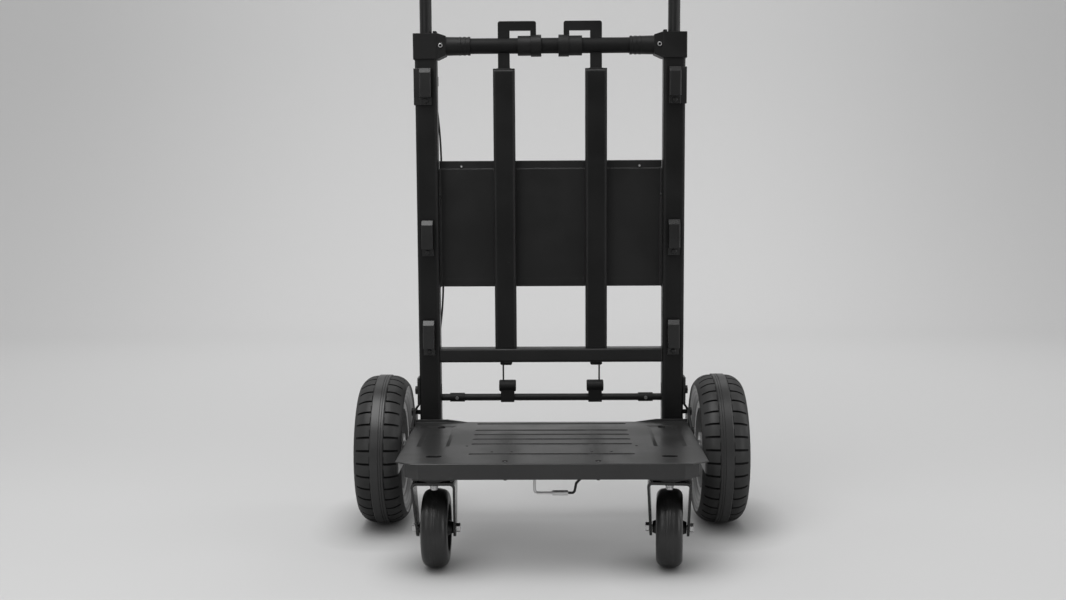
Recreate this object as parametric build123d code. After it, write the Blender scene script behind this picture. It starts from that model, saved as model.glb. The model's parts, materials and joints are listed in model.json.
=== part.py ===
"""Folding hand truck: upright tube frame, telescopic handle and a fold-up deck on swivel casters.

Millimetres, +Z up, +Y towards the back. The origin is on the floor, under the middle of the object.
"""
import os
from math import cos, radians, sin, tan

from build123d import *

# Clearances between pieces
FIT = 0.1               # around pieces that are fixed to each other
RUN = 0.05              # radial, between a pin or shaft and what turns on it
SLIDE = 0.4             # around pieces that slide
END_PLAY = 0.5          # beside pieces that turn

# Rear wheels
TYRE_D = 267.0
TYRE_W = 82.0
WHEEL_STANDOFF = 20.0   # hub to the axle bracket
TYRE_BORE = 150.0
RIB_W = 20.0            # smooth band in the middle of the tread
RIB_STEP = 1.2
TREAD_FLAT = 28.0       # between the two round shoulders
TREAD_EDGE_DROP = 18.0  # tread's side edge under its crown
TREAD_EDGE_T = 2.0
SIDEWALL_INSET = 2.5    # sidewall inside the tread's edge
TREAD_GROOVES = 36
GROOVE_W = 3.0
GROOVE_GAP = 2.5        # groove's end beside the rib
GROOVE_L = 22.0         # from the flat of the tread outwards
GROOVE_DEPTH = 3.0      # at the rib
RIM_W = 56.0
RIM_T = 3.0
RIM_FLANGE = 9.0
WEB_T = 7.0
WEB_HOLES = 5
WEB_HOLE_D = 22.0
HUB_D = 54.0
HUB_L = 64.0
BEARING_D = 42.0
BEARING_W = 12.0
AXLE_D = 20.0
AXLE_SHOULDER_D = 28.0
AXLE_NUT_AF = 24.0
AXLE_NUT_T = 7.0

# Casters
CASTER_D = 126.0
CASTER_W = 42.0
CASTER_TYRE_T = 21.0
CASTER_SHOULDER_R = 9.0
CASTER_DOME = 1.5
CASTER_HUB_WEB = 14.0
CASTER_HUB_RIM = 4.0
CASTER_BOSS = (34.0, 18.0)   # diameters at the web and at the leg
CASTER_IN = 57.0        # kingpin inside the deck's side
CASTER_SETBACK = 49.0   # kingpin behind the deck's front edge
CASTER_TRAIL = 30.0
LEFT_CASTER_YAW = 0.0
RIGHT_CASTER_YAW = -6.0
CASTER_AXLE_D = 8.0
CASTER_NUT_AF = 13.0
CASTER_NUT_T = 6.0
FORK_TOP_W = 70.0
FORK_AXLE_W = 64.0
FORK_T = 4.0
FORK_EYE_R = 14.0
FORK_STRIP_W = 52.0
FORK_BEND_R = 9.0
CROWN_T = 5.0
CROWN_CLEAR = 19.0      # between the caster wheel and the fork's crown
RACE_H = 5.0
RACE_D = 56.0
RACE_CHAMFER = 1.25
CASTER_PLATE = (66.0, 62.0, 4.0)
CASTER_PLATE_CORNER = 8.0
SPACER = (60.0, 56.0, 24.5)
SPACER_FILLET = 6.0
KINGPIN_D = 10.0
KINGPIN_NUT_AF = 15.0
KINGPIN_NUT_T = 9.0
KINGPIN_TIP = 3.0       # bolt end under the nut
KINGPIN_BORE = 26.0

# Deck
DECK_W = 484.0
DECK_REACH = 335.0      # front edge ahead of the rear axle
DECK_T = 2.5
DECK_SKIRT = 25.0
DECK_BEND_R = 2.0
DECK_GAP = 7.0          # back edge to the rails
DECK_SIDE_GAP = 1.0
DECK_CORNER = (26.0, 19.0)
FACET_OVERHANG = 12.0   # plate past the skirt at the front corners
SIDE_RELIEF = 20.0
LIP_H = 5.0
LIP_W = 93.0
LIP_RAMP = 37.0
RIB_L = 264.0
RIB_WIDTH = 11.0
EMBOSS = 1.8
EMBOSS_TAPER = 18.0
RIB_BACKS = (24.0, 78.0, 112.0, 148.0, 184.0, 255.0)   # ribs ahead of the rails
SIDE_PANEL = (54.0, 164.0)
SIDE_PANEL_IN = 49.0    # panel's middle inside the deck's side
SIDE_PANEL_BACK = 120.0
SIDE_PANEL_SLOPE = 7.0
ACCESS_SLOT = (26.0, 13.0)
BACK_HOLE_D = 14.0
BACK_HOLE_BACK = 46.0   # ahead of the rails
DECK_HOLE_D = 5.0
DECK_HOLES = ((64.0, 240.0), (95.0, 240.0), (138.0, 198.0))
HINGE_DROP = 13.0       # hinge axis under the deck's top
HINGE_D = 10.0
HINGE_HEAD = (16.0, 4.0)
HINGE_NUT = (15.0, 6.0)
HINGE_NUT_GAP = 1.0
DECK_SCREW_X = 72.0
DECK_SCREW_SETBACK = 18.0
DECK_SCREW_D = 5.0
DECK_SCREW_HEAD_D = 9.5  # countersunk, flush with the deck's top
DECK_SCREW_L = 30.0
DECK_NUT = (8.0, 5.0)

# Wire bail under the deck
BAIL_D = 4.0
BAIL_SETBACK = 23.0
BAIL_DROP = 37.5
BAIL_BELOW = 11.5       # pivot under the deck's sheet
BAIL_LEFT = -26.5
BAIL_RIGHT = 46.0
BAIL_FOOT_RIGHT = 35.0
BAIL_LEAN = 3.0         # right leg's lean up to its outward bend
BAIL_BEND_DROPS = (22.0, 14.0)  # that bend's two ends under the pivot
BAIL_END = 12.0
BAIL_BEND_R = 5.0
BAIL_SLEEVE = (8.0, 24.0)
BAIL_EAR_T = 3.0
BAIL_STRAP = (16.0, 2.5)

# Rails, slats and cross tube
RAIL_W = 38.0
RAIL_D = 30.0
RAIL_WALL = 2.0
RAIL_CORNER = 4.0
RAIL_BELOW_AXLE = 22.0
CROSS_Z = 292.0
CROSS_H = 25.0
SLAT_X = 80.5
SLAT_W = 38.0
SLAT_D = 26.0
SLAT_TOP = 807.0
SLAT_CORNER = 3.0
CAP_FLANGE = 2.0
CAP_PLUG = 15.0
CAP_COLLAR = (26.0, 16.0, 1.0)

# Corner blocks and top bar
BLOCK_Z = 826.0
BLOCK_H = 44.0
BLOCK_WALL = 2.5
BLOCK_FILLET = 3.0
RAIL_TOP_DEPTH = 24.0   # rail top under the block's top
BAR_BELOW_TOP = 21.0
BAR_D = 27.0
BAR_WALL = 2.5
BAR_END_GAP = 3.5
WEDGE_L = 14.0
WEDGE_HALF = 16.5
SOCKET_L = 56.0
SOCKET_D = (33.0, 30.5)
SOCKET_RIB = (4.0, 0.9)
SOCKET_RIBS = 3
CORNER_SCREW_IN = 7.5   # screw inside the rail's inner face
CORNER_SCREW_D = 4.0
CORNER_SCREW_HEAD = (7.5, 2.5)
CORNER_SCREW_SOCKET = (4.0, 1.5)
COLLAR_X = 15.0
COLLAR_RING = (38.0, 18.0)
COLLAR_NECK = (34.5, 23.0)

# Rail pads and frame screws
PAD_W = 20.0
PAD_L = 63.0
PAD_PROUD = 17.0
PAD_CHAMFER = 8.0
PAD_FILLET = 2.0
PAD_LUG = (5.0, 13.0)
PAD_WING = (2.0, 18.0)  # thickness and depth of the upper pads' wing on the rail's side
PAD_TOPS = (369.0, 546.0, 810.0)
PAD_SCREW = (5.0, 9.0, 3.0)     # shank, head and head height
PANEL_SCREW = (3.5, 6.0, 2.0)
SCREW_CROWN = 0.6       # rounding of the pan heads, as a share of their height

# Back panel
PANEL_Z = 426.0
PANEL_H = 224.0
PANEL_T = 1.5
PANEL_HEM = 14.0
PANEL_STEP = 0.7
PANEL_FLANGE = 13.0
PANEL_SCREW_IN = 39.5   # hem screws inside the rails' inner faces
PANEL_SCREW_DROP = 10.0
PANEL_SIDE_SCREW_DROP = 61.0
PANEL_SIDE_SCREW_Y = 5.0

# Axle brackets
BRACKET_T = 4.0
BRACKET_JOG = 7.5       # lower part outside the rail's outer face
BRACKET_TOP = 78.0      # above the deck
JOGGLE_TOP = 29.0
JOGGLE_BOTTOM = 19.0
AXLE_EYE_R = 25.0
HINGE_EYE_R = 16.0
BOLT_D = 8.0
BOLT_AF = 13.0
BOLT_HEAD = 5.0
BOLT_REACH = 4.0        # bolt end past the rail's wall
BOLT_HEIGHTS = (14.0, 54.0)

# Release: finger pulls, wires and bar
PULL_T = 9.0
PULL_LEG = 20.5
PULL_SHORT = 10.0
PULL_SHORT_X = 29.0
PULL_TOP = 21.0         # above the corner blocks
PULL_H = 16.0
PULL_FILLET = 4.0
PULL_BELOW = 40.0       # leg under the slat's top
PULL_SHORT_DROP = 9.5   # short leg's end under the top bar's axis
PULL_TRAVEL = 18.0
WIRE_D = 3.0
WIRE_X = 86.0
WIRE_SEAT = 10.0
BAR_DROP = 65.0         # release bar under the cross tube
REL_BAR_D = 12.5
REL_BAR_INTO_RAIL = 7.5
BARREL_D = 21.0
BARREL_L = 30.0
BARREL_X = 78.5
BARREL_RISE = 21.0
BARREL_CHAMFER = 1.5
CLAMP = (24.0, 16.0)
CLAMP_WALL = 1.5        # under the release bar
SLEEVE_D = 16.0
SLEEVE_L = 26.0
SLEEVE_IN = 28.5        # sleeve's middle inside the rail's inner face
REL_SCREW_D = 3.0
REL_SCREW_HEAD = (6.0, 3.0)
GUIDE = (21.0, 14.0, 6.0)
GUIDE_CHAMFER = 2.0

# Handle
HANDLE_D = 21.0
HANDLE_WALL = 1.5
HANDLE_TOP = 1105.0     # centre line of the cross run
HANDLE_BEND_R = 60.0
HANDLE_FOOT = 575.0
GLIDE_H = 30.0
GLIDE_SPIGOT = 15.0
GRIP_D = 32.0
GRIP_L = 230.0
GRIP_FILLET = 5.0
BUTTON = (6.5, 14.0, 13.0)
BUTTON_PROUD = 5.0
BUTTON_FILLET = 1.5
BUTTON_WALL = 2.0       # block left inside the button's pocket
SPRING_H = 12.0
SPRING_D = 5.5
SPRING_WALL = 0.8

# Control cable on the left rail
CABLE_D = 3.5
CABLE_IN = 14.0         # line of the clips inside the rail's middle
CABLE_OFF = 4.0         # centre line behind the rail
CABLE_ENDS = (790.0, 300.0)
CABLE_BOW = ((0.0, 762.0), (7.5, 690.0), (10.0, 545.0), (8.5, 400.0), (0.0, 328.0))
CABLE_BEND_SHARE = 0.45  # part of each run that a bend takes
CLIP = (10.0, 8.0, 16.0)
CLIP_FILLET = 2.0

# Places that follow from the sizes above
AXLE_Z = TYRE_D / 2
AXLE_Y = (DECK_REACH - TYRE_D / 2) / 2
DECK_HALF = DECK_W / 2
DECK_FRONT = AXLE_Y - DECK_REACH
BRACKET_X = DECK_HALF + DECK_SIDE_GAP
RAIL_OUTER = BRACKET_X - BRACKET_JOG
RAIL_INNER = RAIL_OUTER - RAIL_W
RAIL_X = RAIL_OUTER - RAIL_W / 2
RAIL_FRONT = AXLE_Y - RAIL_D / 2
RAIL_BACK = AXLE_Y + RAIL_D / 2
RAIL_BOTTOM = AXLE_Z - RAIL_BELOW_AXLE
WHEEL_X = BRACKET_X + BRACKET_T + WHEEL_STANDOFF + HUB_L / 2
CASTER_X = DECK_HALF - CASTER_IN
SIDE_PANEL_X = DECK_HALF - SIDE_PANEL_IN
CORNER_SCREW_X = RAIL_INNER - CORNER_SCREW_IN
PANEL_SCREW_X = RAIL_INNER - PANEL_SCREW_IN
SLEEVE_X = RAIL_INNER - SLEEVE_IN
BLOCK_TOP = BLOCK_Z + BLOCK_H
RAIL_TOP = BLOCK_TOP - RAIL_TOP_DEPTH
BAR_Z = BLOCK_TOP - BAR_BELOW_TOP
BAR_END = RAIL_INNER - BAR_END_GAP
CROWN_BOTTOM = CASTER_D + CROWN_CLEAR
CROWN_TOP = CROWN_BOTTOM + CROWN_T
CASTER_PLATE_Z = CROWN_TOP + RACE_H
SPACER_Z = CASTER_PLATE_Z + CASTER_PLATE[2]
DECK_UNDER = SPACER_Z + SPACER[2]
DECK_TOP = DECK_UNDER + DECK_T
SKIRT_Z = DECK_TOP - DECK_SKIRT
DECK_BACK = RAIL_FRONT - DECK_GAP
KINGPIN_Y = DECK_FRONT + CASTER_SETBACK
HINGE_Z = DECK_TOP - HINGE_DROP
HINGE_Y = RAIL_FRONT - PAD_PROUD - SLIDE - HINGE_DROP
BAIL_Y = DECK_FRONT + BAIL_SETBACK
BAIL_Z = DECK_UNDER - BAIL_BELOW
CROSS_TOP = CROSS_Z + CROSS_H
REL_BAR_Z = CROSS_Z - BAR_DROP
BARREL_Z = REL_BAR_Z + BARREL_RISE
PULL_Z = BLOCK_TOP + PULL_TOP
SLAT_BACK = AXLE_Y + SLAT_D / 2
PANEL_Y = SLAT_BACK + FIT
PANEL_TOP = PANEL_Z + PANEL_H
CABLE_X = RAIL_X - CABLE_IN
CABLE_Y = RAIL_BACK + CABLE_OFF
WHEEL_AT = Pos(WHEEL_X, AXLE_Y, AXLE_Z)


def span(x, y, z):
    """Box between two values on each axis."""
    ends = (x, y, z)
    middle = [(low + high) / 2 for low, high in ends]
    size = [high - low for low, high in ends]
    return Pos(*middle) * Box(*size)


def around(middle, width):
    """Two values, half a width to each side of a middle."""
    return (middle - width / 2, middle + width / 2)


def rod(start, end, diameter):
    """Round bar from one point to another."""
    run = Vector(*end) - Vector(*start)
    bar = Cylinder(diameter / 2, run.length, align=(Align.CENTER, Align.CENTER, Align.MIN))
    return Plane(origin=start, z_dir=run) * bar


def hex_bar(start, end, across_flats):
    """Hexagonal bar from one point to another."""
    run = Vector(*end) - Vector(*start)
    outline = RegularPolygon(across_flats / 2, 6, major_radius=False)
    return Plane(origin=start, z_dir=run) * extrude(outline, run.length)


def hex_corner(across_flats):
    """Radius to a hexagon's corners."""
    return across_flats / 2 / cos(radians(30))


def prism(points, along):
    """Solid with a flat outline of points, pushed along a vector."""
    outline = make_face(Polyline(*points, close=True))
    push = Vector(*along)
    return extrude(outline, push.length, dir=push.normalized())


def turned(half_outline):
    """Solid of revolution about X from an outline on one side of the middle."""
    return revolve(half_outline + mirror(half_outline, about=Plane.YZ), Axis.X)


def flipped(shape):
    """Mirror image on the other side of the centre plane."""
    return mirror(shape, about=Plane.YZ)


def group(*shapes):
    """One node of several separate solids."""
    return Compound([solid for shape in shapes for solid in shape.solids()])


def pair(shape):
    """The same piece on both sides."""
    return group(shape, flipped(shape))


def box_tube(width, depth, wall, corner, length):
    """Rectangular tube along Z with rounded corners."""
    outer = RectangleRounded(width, depth, corner)
    inner = RectangleRounded(width - 2 * wall, depth - 2 * wall, corner - wall)
    return extrude(outer - inner, length)


# Frame screws: heads and shanks shared by the pads and the panel

def screw_places():
    """Seat, direction and size of each frame screw on the right side."""
    places = []
    for top in PAD_TOPS:
        seat = (RAIL_X, RAIL_FRONT - PAD_LUG[0], top - PAD_L + PAD_LUG[1] / 2)
        places.append((seat, (0, 1, 0), PAD_SCREW))
    hem_seat = (PANEL_SCREW_X, PANEL_Y + PANEL_STEP, PANEL_TOP - PANEL_SCREW_DROP)
    places.append((hem_seat, (0, 1, 0), PANEL_SCREW))
    side_seat = (RAIL_INNER - PANEL_T, AXLE_Y + PANEL_SIDE_SCREW_Y, PANEL_TOP - PANEL_SIDE_SCREW_DROP)
    places.append((side_seat, (1, 0, 0), PANEL_SCREW))
    return places


def screw_shanks(room):
    """Shanks of the frame screws on the right side, with room around them."""
    length = PAD_LUG[0] + RAIL_WALL
    shanks = []
    for seat, way, size in screw_places():
        end = Vector(*seat) + Vector(*way) * length
        shanks.append(rod(seat, end, size[0] + 2 * room))
    return shanks


def frame_screws():
    """Pan head screws of the pads and the panel."""
    screws = []
    for (seat, way, size), shank in zip(screw_places(), screw_shanks(0)):
        crown = Vector(*seat) - Vector(*way) * size[2]
        head = rod(seat, crown, size[1])
        rim = head.edges().filter_by(GeomType.CIRCLE).sort_by_distance(crown)[:1]
        screws.append(fillet(rim, SCREW_CROWN * size[2]) + shank)
    return pair(group(*screws))


# Upright frame

def bolt_rods(diameter, start, end):
    """Bars along X at the bracket bolts' heights."""
    heights = [DECK_TOP + height for height in BOLT_HEIGHTS]
    return [rod((start, AXLE_Y, z), (end, AXLE_Y, z), diameter) for z in heights]


def rail():
    """Right upright, with its holes and the slot that guides the release bar."""
    tube = box_tube(RAIL_W, RAIL_D, RAIL_WALL, RAIL_CORNER, RAIL_TOP - RAIL_BOTTOM)
    tube = Pos(RAIL_X, AXLE_Y, RAIL_BOTTOM) * tube
    axle_hole = rod((RAIL_INNER, AXLE_Y, AXLE_Z), (RAIL_OUTER, AXLE_Y, AXLE_Z), AXLE_D + 2 * FIT)
    slot_half = REL_BAR_D / 2 + SLIDE
    slot_z = (REL_BAR_Z - slot_half, REL_BAR_Z + PULL_TRAVEL + slot_half)
    slot_x = (RAIL_INNER - RAIL_WALL, RAIL_INNER + 2 * RAIL_WALL)
    slot = span(slot_x, around(AXLE_Y, 2 * slot_half), slot_z)
    bolt_holes = bolt_rods(BOLT_D + 2 * FIT, RAIL_X, RAIL_OUTER)
    return tube - axle_hole - slot - bolt_holes - screw_shanks(FIT)


def lower_cross_tube():
    """Rectangular tube between the rails, drilled for the pull wires."""
    length = 2 * RAIL_INNER
    tube = box_tube(CROSS_H, RAIL_D, RAIL_WALL, RAIL_CORNER, length)
    tube = Pos(-RAIL_INNER, AXLE_Y, CROSS_Z + CROSS_H / 2) * Rot(Y=90) * tube
    hole = rod((WIRE_X, AXLE_Y, CROSS_Z), (WIRE_X, AXLE_Y, CROSS_TOP), WIRE_D + 2 * END_PLAY)
    return tube - hole - flipped(hole)


def slat():
    """Right middle upright, standing on the cross tube."""
    tube = box_tube(SLAT_W, SLAT_D, RAIL_WALL, SLAT_CORNER, SLAT_TOP - CROSS_TOP)
    return Pos(SLAT_X, AXLE_Y, CROSS_TOP) * tube


def slat_cap():
    """Slotted plug that guides a pull's leg out of the slat."""
    inner_w = SLAT_W - 2 * RAIL_WALL - 2 * FIT
    inner_d = SLAT_D - 2 * RAIL_WALL - 2 * FIT
    plug = extrude(RectangleRounded(inner_w, inner_d, SLAT_CORNER - RAIL_WALL), -CAP_PLUG)
    flange = extrude(RectangleRounded(SLAT_W, SLAT_D, SLAT_CORNER), CAP_FLANGE)
    collar = extrude(RectangleRounded(CAP_COLLAR[0], CAP_COLLAR[1], SLAT_CORNER), CAP_FLANGE + CAP_COLLAR[2])
    cap = Pos(SLAT_X, AXLE_Y, SLAT_TOP) * (plug + flange + collar)
    return cap - pull_passage(SLAT_TOP - CAP_PLUG, SLAT_TOP + CAP_FLANGE + CAP_COLLAR[2])


def pull_passage(low, high):
    """Room for a pull's main leg between two heights."""
    width = around(SLAT_X, PULL_LEG + 2 * SLIDE)
    return span(width, around(AXLE_Y, PULL_T + 2 * SLIDE), (low, high))


def short_passage(low, high):
    """Room for a pull's short leg between two heights."""
    width = around(PULL_SHORT_X, PULL_SHORT + 2 * SLIDE)
    return span(width, around(AXLE_Y, PULL_T + 2 * SLIDE), (low, high))


def top_bar():
    """Round tube between the corner blocks, slotted for the pulls."""
    ends = ((-BAR_END, AXLE_Y, BAR_Z), (BAR_END, AXLE_Y, BAR_Z))
    bar = rod(*ends, BAR_D) - rod(*ends, BAR_D - 2 * BAR_WALL)
    leg_slot = pull_passage(BAR_Z - BAR_D, BAR_Z + BAR_D)
    short_slot = short_passage(BAR_Z, BAR_Z + BAR_D)
    screw_hole = corner_screw_bar(CORNER_SCREW_D + 2 * FIT)
    for cut in (leg_slot, short_slot, screw_hole):
        bar = bar - cut - flipped(cut)
    return bar


def corner_screw_bar(diameter):
    """Shank of the right corner screw, at a given diameter."""
    seat = (CORNER_SCREW_X, AXLE_Y - WEDGE_HALF, BAR_Z)
    end = (CORNER_SCREW_X, AXLE_Y - BAR_D / 2 + BAR_WALL, BAR_Z)
    return rod(seat, end, diameter)


def corner_screws():
    """Hollow head screws that hold the top bar in the blocks."""
    seat = (CORNER_SCREW_X, AXLE_Y - WEDGE_HALF, BAR_Z)
    crown = (CORNER_SCREW_X, AXLE_Y - WEDGE_HALF - CORNER_SCREW_HEAD[1], BAR_Z)
    floor = (CORNER_SCREW_X, crown[1] + CORNER_SCREW_SOCKET[1], BAR_Z)
    head = rod(seat, crown, CORNER_SCREW_HEAD[0]) - hex_bar(crown, floor, CORNER_SCREW_SOCKET[0])
    return pair(head + corner_screw_bar(CORNER_SCREW_D))


def button_pocket():
    """Middle of the right lock button in X, between the block's inner face and the handle tube."""
    return RAIL_INNER - BLOCK_WALL + BUTTON_WALL + SLIDE + BUTTON[0] / 2


def corner_block():
    """Right moulded corner: a cap on the rail and a ribbed socket for the top bar."""
    inner = RAIL_INNER - BLOCK_WALL
    depth = around(AXLE_Y, RAIL_D + 2 * BLOCK_WALL)
    body = span((inner, RAIL_OUTER + BLOCK_WALL), depth, (BLOCK_Z, BLOCK_TOP))
    body = fillet(body.edges().filter_by(Axis.Z), BLOCK_FILLET)
    wedge_tip = inner - WEDGE_L
    radius = SOCKET_D[0] / 2
    wedge = prism(
        [
            (inner + BLOCK_FILLET, AXLE_Y - WEDGE_HALF, BLOCK_TOP),
            (inner + BLOCK_FILLET, AXLE_Y - WEDGE_HALF, BLOCK_Z),
            (inner, AXLE_Y - WEDGE_HALF, BLOCK_Z),
            (wedge_tip, AXLE_Y - WEDGE_HALF, BAR_Z - radius),
            (wedge_tip, AXLE_Y - WEDGE_HALF, BAR_Z + radius),
            (inner, AXLE_Y - WEDGE_HALF, BLOCK_TOP),
        ],
        (0, 2 * WEDGE_HALF, 0),
    )
    mouth = inner - SOCKET_L
    root = inner - WEDGE_L / 2
    cone = Cone(SOCKET_D[1] / 2, radius, root - mouth, align=(Align.CENTER, Align.CENTER, Align.MIN))
    socket = Pos(mouth, AXLE_Y, BAR_Z) * Rot(Y=90) * cone
    for step in range(SOCKET_RIBS):
        rib_x = mouth + 2 * step * SOCKET_RIB[0]
        rib_d = SOCKET_D[1] + 2 * SOCKET_RIB[1]
        socket += rod((rib_x, AXLE_Y, BAR_Z), (rib_x + SOCKET_RIB[0], AXLE_Y, BAR_Z), rib_d)
    block = body + wedge + socket
    bar_hole = rod((mouth, AXLE_Y, BAR_Z), (BAR_END + FIT, AXLE_Y, BAR_Z), BAR_D + 2 * FIT)
    rail_pocket = span(
        around(RAIL_X, RAIL_W + 2 * FIT),
        around(AXLE_Y, RAIL_D + 2 * FIT),
        (BLOCK_Z, RAIL_TOP + FIT),
    )
    tube_hole = rod((RAIL_X, AXLE_Y, RAIL_TOP), (RAIL_X, AXLE_Y, BLOCK_TOP), HANDLE_D + 2 * SLIDE)
    pocket_z = BLOCK_TOP + BUTTON_PROUD - BUTTON[2] - SPRING_H
    pocket = span(
        around(button_pocket(), BUTTON[0] + 2 * SLIDE),
        around(AXLE_Y, BUTTON[1] + 2 * SLIDE),
        (pocket_z, BLOCK_TOP),
    )
    return block - bar_hole - rail_pocket - tube_hole - pocket - corner_screw_bar(CORNER_SCREW_D + 2 * FIT)


def button_spring():
    """Return spring under the right lock button, drawn as its sleeve."""
    top = BLOCK_TOP + BUTTON_PROUD - BUTTON[2]
    ends = ((button_pocket(), AXLE_Y, top - SPRING_H), (button_pocket(), AXLE_Y, top))
    return rod(*ends, SPRING_D) - rod(*ends, SPRING_D - 2 * SPRING_WALL)


def lock_button():
    """Right push button beside the handle tube."""
    top = BLOCK_TOP + BUTTON_PROUD
    button = span(around(button_pocket(), BUTTON[0]), around(AXLE_Y, BUTTON[1]), (top - BUTTON[2], top))
    rim = button.faces().sort_by(Axis.Z)[-1].edges()
    return fillet(rim, BUTTON_FILLET)


def guide_collars():
    """Stepped collars on the top bar that guide the pulls' short legs."""
    step = COLLAR_X + COLLAR_RING[1]
    end = step + COLLAR_NECK[1]
    ring = rod((COLLAR_X, AXLE_Y, BAR_Z), (step, AXLE_Y, BAR_Z), COLLAR_RING[0])
    neck = rod((step, AXLE_Y, BAR_Z), (end, AXLE_Y, BAR_Z), COLLAR_NECK[0])
    bore = rod((COLLAR_X, AXLE_Y, BAR_Z), (end, AXLE_Y, BAR_Z), BAR_D + 2 * FIT)
    return pair(ring + neck - bore - short_passage(BAR_Z, BAR_Z + COLLAR_RING[0]))


def rail_pads():
    """Bumper pads with a sloped top and a screwed lug."""
    front = RAIL_FRONT - PAD_PROUD
    pads = []
    for top in PAD_TOPS:
        bottom = top - PAD_L
        side = RAIL_X - PAD_W / 2
        pad = prism(
            [
                (side, RAIL_FRONT, bottom),
                (side, RAIL_FRONT, top),
                (side, front + PAD_CHAMFER, top),
                (side, front, top - PAD_CHAMFER),
                (side, front, bottom + PAD_LUG[1]),
                (side, RAIL_FRONT - PAD_LUG[0], bottom + PAD_LUG[1]),
                (side, RAIL_FRONT - PAD_LUG[0], bottom),
            ],
            (PAD_W, 0, 0),
        )
        face = pad.faces().sort_by(Axis.Y)[0]
        pad = fillet(face.edges().filter_by(Axis.Z), PAD_FILLET)
        if top == max(PAD_TOPS):
            pad += pad_wing(bottom)
        pads.append(pad - screw_shanks(FIT))
    return pair(group(*pads))


def pad_wing(bottom):
    """Thin wing of an upper pad around the rail's outer front corner."""
    thick, depth = PAD_WING
    return prism(
        [
            (RAIL_X, RAIL_FRONT, bottom),
            (RAIL_OUTER, RAIL_FRONT, bottom),
            (RAIL_OUTER, RAIL_FRONT + depth, bottom),
            (RAIL_OUTER + thick, RAIL_FRONT + depth, bottom),
            (RAIL_OUTER + thick, RAIL_FRONT - thick, bottom),
            (RAIL_X, RAIL_FRONT - thick, bottom),
        ],
        (0, 0, PAD_L),
    )


def back_panel():
    """Sheet behind the slats with folded sides and doubled hems."""
    width = (-RAIL_INNER, RAIL_INNER)
    sheet = span(width, (PANEL_Y, PANEL_Y + PANEL_T), (PANEL_Z, PANEL_TOP))
    hem_y = (PANEL_Y + PANEL_T, PANEL_Y + 2 * PANEL_T)
    top_hem = span(width, hem_y, (PANEL_TOP - PANEL_HEM, PANEL_TOP))
    bottom_hem = span(width, hem_y, (PANEL_Z, PANEL_Z + PANEL_HEM))
    step = span(width, (PANEL_Y, PANEL_Y + PANEL_STEP), (PANEL_TOP - PANEL_HEM, PANEL_TOP))
    flange_y = (PANEL_Y + PANEL_T - PANEL_FLANGE, PANEL_Y + PANEL_T)
    flange = span((RAIL_INNER - PANEL_T, RAIL_INNER), flange_y, (PANEL_Z, PANEL_TOP - PANEL_HEM))
    panel = sheet + top_hem + bottom_hem - step + flange + flipped(flange)
    for shank in screw_shanks(FIT):
        panel = panel - shank - flipped(shank)
    return panel


def wire_guides():
    """Small blocks under the cross tube that guide the pull wires."""
    block = span(around(SLAT_X, GUIDE[0]), around(AXLE_Y, GUIDE[1]), (CROSS_Z - GUIDE[2], CROSS_Z))
    under = block.faces().sort_by(Axis.Z)[0]
    block = chamfer(under.edges(), GUIDE_CHAMFER)
    hole = rod((WIRE_X, AXLE_Y, CROSS_Z - GUIDE[2]), (WIRE_X, AXLE_Y, CROSS_Z), WIRE_D + 2 * END_PLAY)
    return pair(block - hole)


# Axle, brackets and hinge pins

def axle_bracket():
    """Right side plate: flush on the rail above, standing off beside the deck below."""
    depth = (RAIL_FRONT, RAIL_BACK)
    high = DECK_TOP + JOGGLE_TOP
    low = DECK_TOP + JOGGLE_BOTTOM
    upper = span((RAIL_OUTER, RAIL_OUTER + BRACKET_T), depth, (high, DECK_TOP + BRACKET_TOP))
    joggle = prism(
        [
            (RAIL_OUTER, RAIL_FRONT, high),
            (RAIL_OUTER + BRACKET_T, RAIL_FRONT, high),
            (BRACKET_X + BRACKET_T, RAIL_FRONT, low),
            (BRACKET_X, RAIL_FRONT, low),
        ],
        (0, RAIL_D, 0),
    )
    axle_eye = Pos(AXLE_Y, AXLE_Z) * Circle(AXLE_EYE_R)
    hinge_eye = Pos(HINGE_Y, HINGE_Z) * Circle(HINGE_EYE_R)
    neck = Line((RAIL_FRONT, low), (RAIL_BACK, low))
    outline = make_hull(axle_eye.edges() + hinge_eye.edges() + neck.edges())
    lower = extrude(Plane.YZ.offset(BRACKET_X) * outline, BRACKET_T)
    reach = (BRACKET_X - BRACKET_T, BRACKET_X + 2 * BRACKET_T)
    holes = [
        rod((reach[0], AXLE_Y, AXLE_Z), (reach[1], AXLE_Y, AXLE_Z), AXLE_D + 2 * FIT),
        rod((reach[0], HINGE_Y, HINGE_Z), (reach[1], HINGE_Y, HINGE_Z), HINGE_D + 2 * FIT),
    ]
    bolt_holes = bolt_rods(BOLT_D + 2 * FIT, RAIL_X, reach[1])
    return upper + joggle + lower - holes - bolt_holes


def bracket_bolts():
    """Hex bolts through the side plates into the rails."""
    inner = RAIL_OUTER - RAIL_WALL - BOLT_REACH
    seats = (BRACKET_X + BRACKET_T, RAIL_OUTER + BRACKET_T)
    bolts = []
    for height, seat in zip(BOLT_HEIGHTS, seats):
        z = DECK_TOP + height
        head = hex_bar((seat, AXLE_Y, z), (seat + BOLT_HEAD, AXLE_Y, z), BOLT_AF)
        bolts.append(head + rod((inner, AXLE_Y, z), (seat, AXLE_Y, z), BOLT_D))
    return pair(group(*bolts))


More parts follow.
